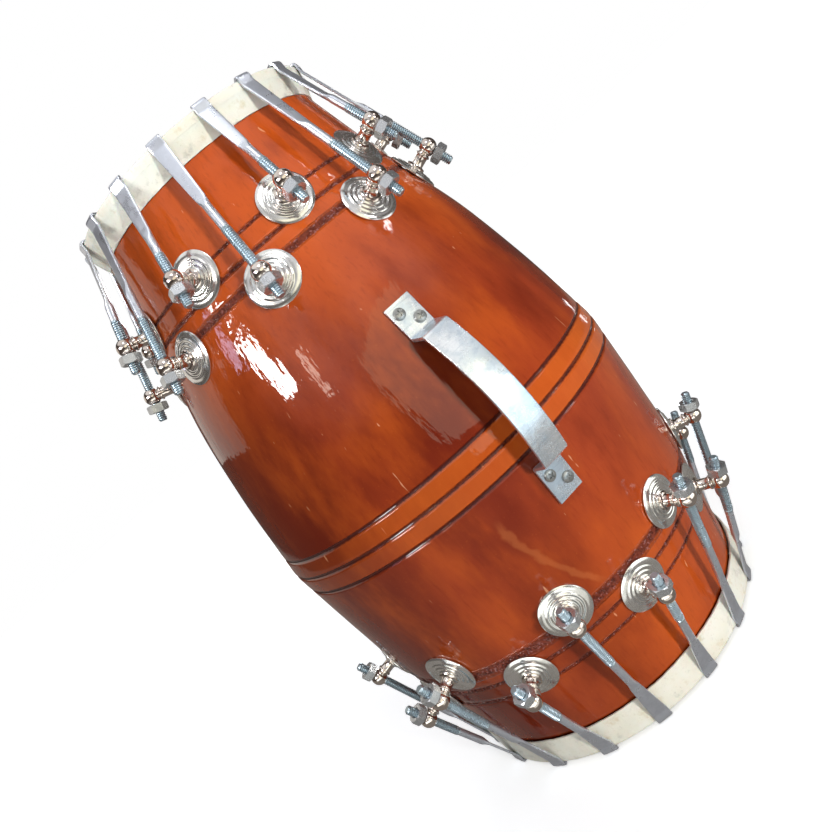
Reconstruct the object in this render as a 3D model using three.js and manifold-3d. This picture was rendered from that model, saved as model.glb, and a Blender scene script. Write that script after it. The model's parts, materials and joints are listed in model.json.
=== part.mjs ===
// Dholak: a barrel drum with two bolt-tuned heads, standing on its bass end.
// Millimetres, +Z along the drum from the bass head to the treble head.
// The origin is the middle of the bass head's playing face.
import * as THREE from 'three';
import { mergeVertices } from 'three/addons/utils/BufferGeometryUtils.js';
import Module from 'manifold-3d';

const wasm = await Module();
wasm.setup();

// Fits shared by all pieces
const clearance = 0.3;
const overrun = 2;
const weld_distance = 0.001;

// Wooden shell
const drum_length = 470;
const belly_height = 210.7;
const belly_radius = 145.2;
const bass_neck_radius = 114.4;
const treble_neck_radius = 90;
const bass_shoulder_step = 6.4;
const treble_shoulder_step = 1.6;
const mouth_wall = 12;
const belly_wall = 21;
const belly_groove_width = 4.4;
const belly_groove_depth = 1.8;
const belly_groove_pitch = 13.9;
const belly_groove_count = 3;
const shell_facets = 36;

// How the wall swells from a shoulder (0) to the belly (1): share of height, share of swelling
const bass_swell_shares = [[0, 0], [0.26, 0.36], [0.41, 0.605], [0.665, 0.8], [1, 1]];
const treble_swell_shares = [[0, 0], [0.21, 0.235], [0.32, 0.365], [0.505, 0.61], [0.72, 0.81], [1, 1]];

// Rawhide heads: the skin runs down the neck, folds outward and comes back up as the collar
const skin_thickness = 1.2;
const bass_collar_width = 22;
const treble_collar_width = 18.5;
const bass_collar_flare = 2.6;
const treble_collar_flare = 1.2;
const collar_rim_drop = 0.6;

// Steel hoop in the fold of each skin
const hoop_section = 5;
const hoop_proud = 0.8;
const hoop_sides = 4;

// Tuning paste inside the bass head
const paste_radius = 46;
const paste_edge_height = 1.8;
const paste_height = 5.5;
const paste_crown_share = 0.62;

// Ball posts on dished washers
const lug_count = 18;
const washer_radius = 17.5;
const washer_sheet = 1.2;
const washer_dish = 2.2;
const post_radius = 4.2;
const ball_radius = 6.2;
const ball_height = 19;
const shank_radius = 3.1;
const shank_length = 11;
const washer_sides = 10;
const post_sides = 7;
const shank_sides = 5;

// Each row of lugs: distance of its washers from the playing face, and length of its flat blades
const bass_long_seat = 106.6;
const bass_short_seat = 80.6;
const treble_long_seat = 102.6;
const treble_short_seat = 71.4;
const bass_long_blade = 42;
const bass_short_blade = 31;
const treble_long_blade = 44;
const treble_short_blade = 35;

// Hook rods: threaded round bar, then a flat blade that hooks over the hoop
const rod_radius = 3.175;
const thread_past_nut = 7;
const bass_blade_width = 11.4;
const treble_blade_width = 10.3;
const hook_thickness = 2.7;
const hook_reach = 8;
const hook_drop = 5;
const round_bar_share = 0.5;
const flat_bar_share = 0.8;

// Tuning nuts
const nut_across_flats = 12.7;
const nut_height = 6;
const nut_turn_step = THREE.MathUtils.degToRad(23);

// Strap handle over the belly grooves, nearly midway between the long rods' washers
const handle_width = 19;
const handle_sheet = 2.4;
const handle_length = 150.5;
const handle_off_middle = -1.25;
const handle_foot_plate = 28;
const handle_head_plate = 23.5;
const handle_leg_lean = 2;
const handle_leg_height = 17.4;
const handle_arch_rise = 10.8;
const handle_arch_steps = 6;

// Handle screws, two on each plate
const screw_head_radius = 3.9;
const screw_head_height = 2.2;
const screw_shank_radius = 1.9;
const screw_length = 15;
const screw_tip = 4;
const screw_tip_radius = 0.6;
const screw_shank_sides = 6;
const screw_head_sides = 10;
const screw_across = 4.1;
const foot_screw_inset = 13.7;
const head_screw_inset = 11.2;
const screw_along = 4.3;

const wood = new THREE.MeshStandardMaterial({ color: 0xa5461c, roughness: 0.22, metalness: 0 });
const hide = new THREE.MeshStandardMaterial({ color: 0xd9cfbb, roughness: 0.7, metalness: 0 });
const paste = new THREE.MeshStandardMaterial({ color: 0x241f1c, roughness: 0.85, metalness: 0 });
const steel = new THREE.MeshStandardMaterial({ color: 0xb9bcbb, roughness: 0.25, metalness: 1 });
const zinc = new THREE.MeshStandardMaterial({ color: 0xaebcc8, roughness: 0.35, metalness: 1 });
const aluminium = new THREE.MeshStandardMaterial({ color: 0xc9ced0, roughness: 0.4, metalness: 1 });

const up = new THREE.Vector3(0, 1, 0);
const full_turn = 2 * Math.PI;
const quarter_turn = Math.PI / 2;

// Closed solid from a three.js geometry, with its outside out
function solid(geometry) {
  const bare = geometry.clone();
  bare.deleteAttribute('normal');
  bare.deleteAttribute('uv');
  const merged = mergeVertices(bare, weld_distance);
  const index = Array.from(merged.index.array);
  const triangles = [];
  for (let i = 0; i < index.length; i += 3) {
    const [a, b, c] = index.slice(i, i + 3);
    if (a !== b && b !== c && c !== a) triangles.push(a, b, c);
  }
  const vertProperties = new Float32Array(merged.attributes.position.array);
  if (signedVolume(vertProperties, triangles) < 0) triangles.reverse();
  const triVerts = new Uint32Array(triangles);
  return new wasm.Manifold(new wasm.Mesh({ numProp: 3, vertProperties, triVerts }));
}

function signedVolume(points, triangles) {
  const corner = (k) => new THREE.Vector3().fromArray(points, 3 * k);
  let volume = 0;
  for (let i = 0; i < triangles.length; i += 3) {
    const a = corner(triangles[i]);
    volume += a.dot(corner(triangles[i + 1]).cross(corner(triangles[i + 2]))) / 6;
  }
  return volume;
}

function geometryOf(manifold) {
  const mesh = manifold.getMesh();
  const geometry = new THREE.BufferGeometry();
  geometry.setAttribute('position', new THREE.BufferAttribute(new Float32Array(mesh.vertProperties), 3));
  geometry.setIndex(new THREE.BufferAttribute(new Uint32Array(mesh.triVerts), 1));
  geometry.computeVertexNormals();
  return geometry;
}

function addPiece(parent, name, shape, material) {
  const geometry = shape.isBufferGeometry ? shape : geometryOf(shape);
  const mesh = new THREE.Mesh(geometry, material);
  mesh.name = name;
  parent.add(mesh);
  return mesh;
}

// Ring turned about Z from [radius, height] points, with a facet facing each lug
function turned(profile, facets) {
  const grow = 1 / Math.cos(Math.PI / facets);
  const points = profile.map(([radius, height]) => new THREE.Vector2(radius * grow, height));
  return new THREE.LatheGeometry(points, facets, Math.PI / facets).rotateX(quarter_turn);
}

// Bar turned about a line that starts at a point and runs in a direction
function turnedAlong(profile, facets, start, direction) {
  const points = profile.map(([radius, height]) => new THREE.Vector2(radius, height));
  return aim(new THREE.LatheGeometry(points, facets), start, direction);
}

function aim(geometry, start, direction) {
  const turn = new THREE.Quaternion().setFromUnitVectors(up, direction);
  return geometry.applyQuaternion(turn).translate(start.x, start.y, start.z);
}

// Bar turned from [radius, height, sides] rings, so that a wide ring can have more sides than a thin one
function turnedRings(rings, start, direction) {
  const positions = [];
  const firsts = [];
  for (const [radius, height, sides] of rings) {
    firsts.push(positions.length / 3);
    for (let i = 0; i < sides; i += 1) {
      const angle = full_turn * i / sides;
      positions.push(radius * Math.sin(angle), height, radius * Math.cos(angle));
    }
  }
  const index = [];
  for (let k = 0; k + 1 < rings.length; k += 1) {
    const low_sides = rings[k][2];
    const high_sides = rings[k + 1][2];
    const low = (i) => firsts[k] + i % low_sides;
    const high = (i) => firsts[k + 1] + i % high_sides;
    let i = 0;
    let j = 0;
    while (i < low_sides || j < high_sides) {
      if ((i + 1) * high_sides <= (j + 1) * low_sides) {
        index.push(low(i), low(i + 1), high(j));
        i += 1;
      } else {
        index.push(low(i), high(j + 1), high(j));
        j += 1;
      }
    }
  }
  const last = rings.length - 1;
  const top = firsts[last];
  for (let i = 1; i + 1 < rings[0][2]; i += 1) index.push(0, i + 1, i);
  for (let i = 1; i + 1 < rings[last][2]; i += 1) index.push(top, top + i, top + i + 1);
  const geometry = new THREE.BufferGeometry();
  geometry.setAttribute('position', new THREE.Float32BufferAttribute(positions, 3));
  geometry.setIndex(index);
  return aim(geometry, start, direction);
}

// Closed skin through rings of equally many points, capped at both ends
function lofted(rings) {
  const count = rings[0].length;
  const positions = rings.flat().flatMap((point) => point.toArray());
  const index = [];
  for (let k = 0; k + 1 < rings.length; k += 1) {
    for (let i = 0; i < count; i += 1) {
      const a = k * count + i;
      const b = k * count + (i + 1) % count;
      index.push(a, b, a + count, b, b + count, a + count);
    }
  }
  const last = (rings.length - 1) * count;
  for (let i = 1; i + 1 < count; i += 1) {
    index.push(0, i + 1, i);
    index.push(last, last + i, last + i + 1);
  }
  const geometry = new THREE.BufferGeometry();
  geometry.setAttribute('position', new THREE.Float32BufferAttribute(positions, 3));
  geometry.setIndex(index);
  return geometry;
}

// Wall of the shell: outer radius at a height above the bass face
const bass_shoulder = bass_collar_width + clearance;
const treble_shoulder = drum_length - treble_collar_width - clearance;
const bass_shoulder_radius = bass_neck_radius + bass_shoulder_step;
const treble_shoulder_radius = treble_neck_radius + treble_shoulder_step;

function swellPoints(shares, shoulder_height, shoulder_radius) {
  return shares.map(([height_share, swell_share]) => [
    shoulder_radius + (belly_radius - shoulder_radius) * swell_share,
    shoulder_height + (belly_height - shoulder_height) * height_share,
  ]);
}

const bass_wall = swellPoints(bass_swell_shares, bass_shoulder, bass_shoulder_radius);
const treble_wall = swellPoints(treble_swell_shares, treble_shoulder, treble_shoulder_radius).reverse();
const wall_line = [...bass_wall, ...treble_wall.slice(1)];

function shellRadius(height) {
  let k = 1;
  while (k + 1 < wall_line.length && wall_line[k][1] < height) k += 1;
  const [low_radius, low] = wall_line[k - 1];
  const [high_radius, high] = wall_line[k];
  return low_radius + (high_radius - low_radius) * (height - low) / (high - low);
}

// How far the wall rises above the straight line between two of its heights
function wallBulge(low, high) {
  const rise = (shellRadius(high) - shellRadius(low)) / (high - low);
  const line = (height) => shellRadius(low) + rise * (height - low);
  const between = wall_line.filter(([, height]) => height > low && height < high);
  return Math.max(0, ...between.map(([radius, height]) => radius - line(height)));
}

// Belly grooves: a row of V cuts centred on the belly
function grooveHeights() {
  const first = belly_height - belly_groove_pitch * (belly_groove_count - 1) / 2;
  return Array.from({ length: belly_groove_count }, (_, k) => first + k * belly_groove_pitch);
}

function groovedWall() {
  const half = belly_groove_width / 2;
  const cuts = grooveHeights();
  const plain = wall_line.filter(([, height]) => cuts.every((cut) => Math.abs(height - cut) > half));
  const vees = cuts.flatMap((cut) => [
    [shellRadius(cut - half), cut - half],
    [shellRadius(cut) - belly_groove_depth, cut],
    [shellRadius(cut + half), cut + half],
  ]);
  return [...plain, ...vees].sort((a, b) => a[1] - b[1]);
}

// Inside of the shell: the wall is thin at both mouths and thick at the belly
function boreRadius(height) {
  const from_end = height < belly_height ? height / belly_height
    : (drum_length - height) / (drum_length - belly_height);
  const wall = mouth_wall + (belly_wall - mouth_wall) * from_end;
  const neck = height < bass_shoulder ? bass_neck_radius : treble_neck_radius;
  const outside = height < bass_shoulder || height > treble_shoulder ? neck : shellRadius(height);
  return outside - wall;
}

const wood_foot = skin_thickness + clearance;
const wood_top = drum_length - skin_thickness - clearance;

function shellBlank() {
  const outside = [
    [bass_neck_radius, wood_foot],
    [bass_neck_radius, bass_shoulder],
    ...groovedWall(),
    [treble_neck_radius, treble_shoulder],
    [treble_neck_radius, wood_top],
  ];
  const bore_heights = [wood_top, treble_wall[3][1], belly_height, bass_wall[2][1], wood_foot];
  const inside = bore_heights.map((height) => [boreRadius(height), height]);
  return solid(turned([...outside, ...inside, outside[0]], shell_facets));
}

// The two ends: heights are counted from the playing face into the drum
const bass_end = {
  name: 'bass',
  neck_radius: bass_neck_radius,
  collar_width: bass_collar_width,
  collar_end_radius: bass_shoulder_radius + bass_collar_flare,
  blade_width: bass_blade_width,
  long_row: { seat_depth: bass_long_seat, blade_length: bass_long_blade },
  short_row: { seat_depth: bass_short_seat, blade_length: bass_short_blade },
  height: (depth) => depth,
  azimuth: (angle) => angle,
};
const treble_end = {
  name: 'treble',
  neck_radius: treble_neck_radius,
  collar_width: treble_collar_width,
  collar_end_radius: treble_shoulder_radius + treble_collar_flare,
  blade_width: treble_blade_width,
  long_row: { seat_depth: treble_long_seat, blade_length: treble_long_blade },
  short_row: { seat_depth: treble_short_seat, blade_length: treble_short_blade },
  height: (depth) => drum_length - depth,
  azimuth: (angle) => -angle,
};

// Radii outward from the neck: skirt of the skin, hoop, collar
function headRadii(end) {
  const skirt_in = end.neck_radius + clearance;
  const skirt_out = skirt_in + skin_thickness;
  const hoop_in = skirt_out + clearance;
  const hoop_out = hoop_in + hoop_section;
  const collar_in = hoop_out + clearance;
  const collar_out = collar_in + skin_thickness;
  return { skirt_in, skirt_out, hoop_in, hoop_out, collar_in, collar_out };
}

function skinSolid(end) {
  const { skirt_in, skirt_out, collar_in, collar_out } = headRadii(end);
  const fold = end.collar_width;
  const hoop_floor = hoop_section - hoop_proud + clearance;
  const pocket_floor = fold - skin_thickness;
  const profile = [
    [0, 0],
    [skirt_out - skin_thickness, 0],
    [skirt_out, skin_thickness],
    [skirt_out, pocket_floor],
    [collar_in, hoop_floor + skin_thickness],
    [collar_in, collar_rim_drop],
    [collar_out, collar_rim_drop],
    [collar_out, hoop_floor + skin_thickness],
    [end.collar_end_radius, fold],
    [skirt_in, fold],
    [skirt_in, skin_thickness],
    [0, skin_thickness],
  ];
  return solid(turned(profile, shell_facets));
}

function hoopSolid(end) {
  const { hoop_in } = headRadii(end);
  const half = hoop_section / 2;
  const profile = [];
  for (let k = 0; k <= hoop_sides; k += 1) {
    const angle = full_turn * (k % hoop_sides) / hoop_sides;
    profile.push([hoop_in + half + half * Math.cos(angle), half - hoop_proud + half * Math.sin(angle)]);
  }
  return solid(turned(profile, shell_facets));
}

function pasteSolid() {
  const foot = skin_thickness + clearance;
  const profile = [
    [0, foot],
    [paste_radius, foot],
    [paste_radius, foot + paste_edge_height],
    [paste_radius * paste_crown_share, foot + paste_height],
    [0, foot + paste_height],
  ];
  return solid(turned(profile, lug_count));
}

// Where one lug sits: drawn in the XZ plane, with X outward and Z into the drum
function lugPlaces(end, { seat_depth, blade_length }) {
  const near = end.height(seat_depth - washer_radius);
  const far = end.height(seat_depth + washer_radius);
  const slope = (shellRadius(far) - shellRadius(near)) / (2 * washer_radius);
  const tilt = Math.atan(slope);
  const outward = new THREE.Vector3(Math.cos(tilt), 0, -Math.sin(tilt));
  const chord = (shellRadius(near) + shellRadius(far)) / 2;
  const bulge = wallBulge(Math.min(near, far), Math.max(near, far));
  const seat = new THREE.Vector3(chord + bulge + clearance, 0, seat_depth);
  const ball = seat.clone().addScaledVector(outward, ball_height);
  const { collar_out } = headRadii(end);
  const hook = new THREE.Vector3(collar_out + clearance + hook_thickness / 2, 0, hook_drop);
  const rod = hook.clone().sub(ball).normalize();
  return { seat, outward, ball, hook, rod, blade_length, blade_width: end.blade_width };
}

// Ball post with its dished washer, and its shank in the shell wall
function postSolid({ seat, outward }) {
  const waist = Math.sqrt(ball_radius ** 2 - post_radius ** 2);
  const crown_share = 0.62;
  const crown_height = Math.sqrt(1 - crown_share ** 2) * ball_radius;
  return solid(turnedRings([
    [shank_radius, -shank_length, shank_sides],
    [shank_radius, washer_dish, shank_sides],
    [washer_radius, 0, washer_sides],
    [washer_radius, washer_sheet, washer_sides],
    [post_radius, washer_dish + washer_sheet, post_sides],
    [post_radius, ball_height - waist, post_sides],
    [ball_radius, ball_height, post_sides],
    [ball_radius * crown_share, ball_height + crown_height, post_sides],
  ], seat, outward));
}

// Hexagon round the middle line of the rod: round bar has equal shares, the flat blade is wide and thin
function rodRing(centre, thick_way, half_width, half_thickness, shoulder_share) {
  const way = thick_way.clone().normalize();
  const side = shoulder_share;
  const spots = [[-1, 0], [-side, -1], [side, -1], [1, 0], [side, 1], [-side, 1]];
  return spots.map(([a, b]) => {
    const across = new THREE.Vector3(0, a * half_width, 0);
    return centre.clone().add(across).addScaledVector(way, b * half_thickness);
  });
}

function rodSolid({ ball, hook, rod, blade_length, blade_width }) {
  const stub = nutSeat() + nut_height + thread_past_nut;
  const round_length = ball.distanceTo(hook) - blade_length;
  const point = (distance) => ball.clone().addScaledVector(rod, distance);
  const square = new THREE.Vector3(-rod.z, 0, rod.x);
  const lip_height = -clearance - hook_thickness / 2;
  const corner = new THREE.Vector3(hook.x, 0, lip_height);
  const tip = new THREE.Vector3(hook.x - hook_reach, 0, lip_height);
  const radial = new THREE.Vector3(1, 0, 0);
  const bend = square.clone().add(radial).normalize();
  const mitre = new THREE.Vector3(1, 0, -1);
  const flat_height = rod_radius * Math.cos(Math.PI / 6);
  const half_blade = blade_width / 2;
  const half_hook = hook_thickness / 2;
  const rings = [
    rodRing(point(-stub), square, rod_radius, flat_height, round_bar_share),
    rodRing(point(round_length), square, rod_radius, flat_height, round_bar_share),
    rodRing(hook, bend, half_blade, half_hook / bend.dot(radial), flat_bar_share),
    rodRing(corner, mitre, half_blade, half_hook * Math.SQRT2, flat_bar_share),
    rodRing(tip, new THREE.Vector3(0, 0, -1), half_blade, half_hook, flat_bar_share),
  ];
  return solid(lofted(rings));
}

// The nut's bore is a hexagon that clears the thread
function nutBoreRadius() {
  return (rod_radius + clearance) / Math.cos(Math.PI / 6);
}

// Distance from the middle of the ball to the face of the nut that bears on it
function nutSeat() {
  return Math.sqrt(ball_radius ** 2 - rod_radius ** 2) + clearance;
}

function nutGeometry() {
  const corner = nut_across_flats / 2 / Math.cos(Math.PI / 6);
  const bore = nutBoreRadius();
  const profile = [[bore, 0], [corner, 0], [corner, nut_height], [bore, nut_height], [bore, 0]];
  return solid(turnedAlong(profile, 6, new THREE.Vector3(), up));
}

// Azimuth of a lug: a short rod stands in line with the handle, at the front
const front = -quarter_turn;
const lug_pitch = full_turn / lug_count;

function lugList(end) {
  const lugs = [];
  for (let k = 0; k < lug_count; k += 1) {
    const row = k % 2 === 0 ? end.short_row : end.long_row;
    lugs.push({ number: k + 1, azimuth: end.azimuth(front + k * lug_pitch), places: lugPlaces(end, row) });
  }
  return lugs;
}

function tensionFrame(end) {
  let frame = hoopSolid(end);
  for (const { azimuth, places } of lugList(end)) {
    const lug = geometryOf(postSolid(places).add(rodSolid(places)));
    frame = frame.add(solid(lug.rotateZ(azimuth)));
  }
  return frame;
}

// Holes in the shell wall for the shanks of one end
function shankHoles(end) {
  const radius = shank_radius + clearance / Math.cos(Math.PI / shank_sides);
  const hole = [[radius, -shank_length - clearance, shank_sides], [radius, overrun, shank_sides]];
  return lugList(end).map(({ azimuth, places }) => (
    turnedRings(hole, places.seat, places.outward).rotateZ(azimuth)
  ));
}

function buildEnd(end, group) {
  addPiece(group, `${end.name}_skin`, skinSolid(end), hide);
  addPiece(group, `${end.name}_tension_frame`, tensionFrame(end), steel);
  const nut_shape = geometryOf(nutGeometry());
  for (const { number, azimuth, places } of lugList(end)) {
    const holder = new THREE.Group();
    holder.rotation.z = azimuth;
    group.add(holder);
    const label = String(number).padStart(2, '0');
    const nut = addPiece(holder, `${end.name}_nut_${label}`, nut_shape, zinc);
    const away = places.rod.clone().negate();
    nut.position.copy(places.ball).addScaledVector(away, nutSeat());
    nut.quaternion.setFromUnitVectors(up, away);
    nut.rotateY(nut_turn_step * number);
  }
}

// Handle: bent strap, drawn in a plane with x up the drum and y outward from its axis
function plateLine(low, high) {
  const rise = (shellRadius(high) - shellRadius(low)) / (high - low);
  const tilt = Math.atan(rise);
  const lift = clearance / Math.cos(tilt) + wallBulge(low, high);
  const at = (height) => new THREE.Vector2(height, shellRadius(low) + rise * (height - low) + lift);
  return { tilt, at };
}

const handle_middle = (bass_long_seat + drum_length - treble_long_seat) / 2 + handle_off_middle;
const handle_foot = handle_middle - handle_length / 2;
const handle_head = handle_middle + handle_length / 2;
const foot_plate = plateLine(handle_foot, handle_foot + handle_foot_plate);
const head_plate = plateLine(handle_head - handle_head_plate, handle_head);

function handlePath() {
  const foot_bend = foot_plate.at(handle_foot + handle_foot_plate);
  const head_bend = head_plate.at(handle_head - handle_head_plate);
  const foot_top = foot_bend.clone().add(new THREE.Vector2(handle_leg_lean, handle_leg_height));
  const head_top = head_bend.clone().add(new THREE.Vector2(-handle_leg_lean, handle_leg_height));
  const chord = head_top.clone().sub(foot_top);
  const rise = new THREE.Vector2(-chord.y, chord.x).normalize().multiplyScalar(2 * handle_arch_rise);
  const middle = foot_top.clone().add(head_top).multiplyScalar(0.5).add(rise);
  const arch = new THREE.QuadraticBezierCurve(foot_top, middle, head_top).getPoints(handle_arch_steps);
  return [foot_plate.at(handle_foot), foot_bend, ...arch, head_bend, head_plate.at(handle_head)];
}

// The same path moved square to itself by the sheet's thickness
function offsetPath(path, distance) {
  const sides = [];
  for (let k = 0; k + 1 < path.length; k += 1) {
    const along = path[k + 1].clone().sub(path[k]).normalize();
    sides.push(new THREE.Vector2(-along.y, along.x));
  }
  return path.map((point, k) => {
    const before = sides[Math.max(k - 1, 0)];
    const after = sides[Math.min(k, sides.length - 1)];
    const way = before.clone().add(after).normalize();
    return point.clone().addScaledVector(way, distance / way.dot(after));
  });
}

// Stands the drawing plane at the front of the drum, with y pointing away from the axis
const front_plane = new THREE.Matrix4().makeBasis(
  new THREE.Vector3(0, 0, 1),
  new THREE.Vector3(0, -1, 0),
  new THREE.Vector3(1, 0, 0),
);

// Middle of each screw's seat on its plate and the way out of the shell there
function screwPlaces() {
  const places = [];
  const plates = [
    [foot_plate, handle_foot + foot_screw_inset],
    [head_plate, handle_head - head_screw_inset],
  ];
  for (const [plate, middle] of plates) {
    for (const side of [-1, 1]) {
      const point = plate.at(middle - side * screw_along);
      const start = new THREE.Vector3(point.x, point.y, side * screw_across).applyMatrix4(front_plane);
      const way = new THREE.Vector3(-Math.sin(plate.tilt), Math.cos(plate.tilt), 0);
      places.push({ start, outward: way.applyMatrix4(front_plane).normalize() });
    }
  }
  return places;
}

function handleSolid() {
  const path = handlePath();
  const outline = new THREE.Shape([...path, ...offsetPath(path, handle_sheet).reverse()]);
  const strap = new THREE.ExtrudeGeometry(outline, { depth: handle_width, bevelEnabled: false });
  strap.translate(0, 0, -handle_width / 2).applyMatrix4(front_plane);
  let handle = solid(strap);
  for (const { start, outward } of screwPlaces()) {
    const sides = screw_shank_sides;
    const radius = screw_shank_radius + clearance / Math.cos(Math.PI / sides);
    const hole = [[radius, -overrun, sides], [radius, handle_sheet + overrun, sides]];
    handle = handle.subtract(solid(turnedRings(hole, start, outward)));
  }
  return handle;
}

function screwSolid({ start, outward }) {
  const seat = handle_sheet + clearance;
  const dome_share = 0.7;
  const side_share = 0.45;
  return solid(turnedRings([
    [screw_tip_radius, seat - screw_length, screw_shank_sides],
    [screw_shank_radius, seat - screw_length + screw_tip, screw_shank_sides],
    [screw_shank_radius, seat, screw_shank_sides],
    [screw_head_radius, seat, screw_head_sides],
    [screw_head_radius, seat + screw_head_height * side_share, screw_head_sides],
    [screw_head_radius * dome_share, seat + screw_head_height, screw_head_sides],
  ], start, outward));
}

function pilotHoles() {
  const radius = screw_shank_radius + clearance / Math.cos(Math.PI / screw_shank_sides);
  const low = handle_sheet - screw_length;
  const hole = [[radius, low, screw_shank_sides], [radius, overrun, screw_shank_sides]];
  return screwPlaces().map(({ start, outward }) => turnedRings(hole, start, outward));
}

// The assembly: the treble end is built like the bass end and turned over
const dholak = new THREE.Group();
const bass_group = new THREE.Group();
const treble_group = new THREE.Group();
treble_group.rotation.x = Math.PI;
treble_group.position.z = drum_length;
dholak.add(bass_group, treble_group);

let shell = shellBlank();
for (const hole of shankHoles(bass_end)) shell = shell.subtract(solid(hole));
for (const hole of shankHoles(treble_end)) {
  shell = shell.subtract(solid(hole.rotateX(Math.PI).translate(0, 0, drum_length)));
}
for (const hole of pilotHoles()) shell = shell.subtract(solid(hole));
addPiece(dholak, 'shell', shell, wood);

buildEnd(bass_end, bass_group);
buildEnd(treble_end, treble_group);
addPiece(bass_group, 'bass_tuning_paste', pasteSolid(), paste);
addPiece(dholak, 'handle', handleSolid(), aluminium);
screwPlaces().forEach((place, k) => addPiece(dholak, `handle_screw_${k + 1}`, screwSolid(place), steel));

export default dholak;
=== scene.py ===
# %% [markdown]
# # A dholak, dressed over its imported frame
#
# A dholak is a barrel drum of turned wood with a rawhide head at each end. This one is tuned by
# bolts: every head is pulled tight by hook rods, and a nut on each rod bears on a small ball post.
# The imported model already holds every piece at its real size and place. Here each piece gets the
# surface that the eye expects: lacquer, hide, plated steel and brushed aluminium.

# %% Load the frame
import json
import math

import bmesh
import bpy
import numpy as np
from mathutils import Matrix, Vector, noise

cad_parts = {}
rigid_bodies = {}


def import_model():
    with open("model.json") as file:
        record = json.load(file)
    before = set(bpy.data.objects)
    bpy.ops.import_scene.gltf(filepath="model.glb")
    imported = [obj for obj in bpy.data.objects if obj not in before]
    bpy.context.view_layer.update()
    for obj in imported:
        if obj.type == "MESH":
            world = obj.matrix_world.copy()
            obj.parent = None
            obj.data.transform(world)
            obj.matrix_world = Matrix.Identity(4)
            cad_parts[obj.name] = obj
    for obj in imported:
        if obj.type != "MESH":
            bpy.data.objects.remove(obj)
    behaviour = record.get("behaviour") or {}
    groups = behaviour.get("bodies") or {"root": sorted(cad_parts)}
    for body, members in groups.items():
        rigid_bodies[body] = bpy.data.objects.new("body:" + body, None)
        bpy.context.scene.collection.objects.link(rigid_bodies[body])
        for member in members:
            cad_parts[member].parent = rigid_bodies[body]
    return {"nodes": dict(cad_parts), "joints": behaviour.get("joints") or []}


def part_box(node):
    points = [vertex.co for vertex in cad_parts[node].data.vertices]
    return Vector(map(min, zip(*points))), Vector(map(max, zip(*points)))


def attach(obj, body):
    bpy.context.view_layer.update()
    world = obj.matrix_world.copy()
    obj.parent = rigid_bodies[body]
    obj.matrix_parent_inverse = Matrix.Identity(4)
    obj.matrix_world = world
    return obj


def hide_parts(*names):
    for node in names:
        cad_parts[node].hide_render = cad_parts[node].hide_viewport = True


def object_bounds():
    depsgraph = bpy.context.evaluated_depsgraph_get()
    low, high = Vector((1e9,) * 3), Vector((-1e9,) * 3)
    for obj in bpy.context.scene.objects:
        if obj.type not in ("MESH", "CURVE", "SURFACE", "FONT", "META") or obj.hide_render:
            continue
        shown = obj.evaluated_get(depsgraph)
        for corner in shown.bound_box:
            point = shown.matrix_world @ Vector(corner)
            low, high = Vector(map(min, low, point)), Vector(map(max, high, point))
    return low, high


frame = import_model()
cad_low, cad_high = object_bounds()
print("CAD box in mm:", [round(1000 * side) for side in cad_high - cad_low])

# %% [markdown]
# ## Units and the drum's own sizes
#
# The pieces are drawn in millimetres, because that is how a drum maker would measure them, and
# they are turned into metres only when a mesh is made. Depths are counted from the playing face of
# each head into the drum, so the same code can draw both ends: the treble end is turned over.

# %% Driving sizes in millimetres
MM = 0.001
DRUM_LENGTH = 470
BELLY_HEIGHT = 210.7
BELLY_RADIUS = 145.2
CLEARANCE = 0.3
HIDE = 1.2
HOOP_SECTION = 5
LUG_COUNT = 18
FRONT = -math.pi / 2


class End:
    """One end of the drum: its neck, its collar, and its two rows of lugs."""

    def __init__(
        self, name, neck, shoulder_step, collar_width, collar_flare, blade_width, rows, grooves, rough_half
    ):
        self.name = name
        self.turned_over = name == "treble"
        self.neck = neck
        self.shoulder = neck + shoulder_step
        self.shoulder_depth = collar_width + CLEARANCE
        self.collar_width = collar_width
        self.collar_end = self.shoulder + collar_flare
        self.collar_out = neck + 3 * CLEARANCE + 2 * HIDE + HOOP_SECTION
        self.blade_width = blade_width
        self.rows = rows
        self.grooves = grooves
        self.rough_half = rough_half

    def height(self, depth):
        return DRUM_LENGTH - depth if self.turned_over else depth


# A row is the depth of its washers, the length of its flat blades, and where its thread ends past the ball
BASS = End(
    "bass", neck=114.4, shoulder_step=6.4, collar_width=22, collar_flare=2.6, blade_width=11.4,
    rows={"short": (80.6, 28, 26), "long": (106.6, 37, 41)}, grooves=(70.4, 84.7, 98), rough_half=4.6,
)
TREBLE = End(
    "treble", neck=90, shoulder_step=1.6, collar_width=18.5, collar_flare=1.2, blade_width=10.3,
    rows={"short": (71.4, 35, 19), "long": (102.6, 44, 34)}, grooves=(69.4, 83, 96.1), rough_half=3.0,
)
ENDS = (BASS, TREBLE)
WALL_LOW = BASS.height(BASS.shoulder_depth)
WALL_HIGH = TREBLE.height(TREBLE.shoulder_depth)
print("collars reach out to", [round(end.collar_out, 1) for end in ENDS], "mm")

# %% [markdown]
# ## Camera
#
# The photograph shows the drum lying across the picture, larger end towards the lower right. Its
# camera stood close: the place, the roll and the lens below come from fitting a pinhole camera to
# the rims, the belly and the rows of washers.

# %% Camera
PHOTO_WIDTH = 832
FOCAL_PIXELS = 733.9
CAMERA_PLACE = (-0.1440, -0.5299, 0.3218)
CAMERA_TURN = (77.887, 41.138, -23.155)
SENSOR_WIDTH = 36
NEAREST_SEEN = 0.01

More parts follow.
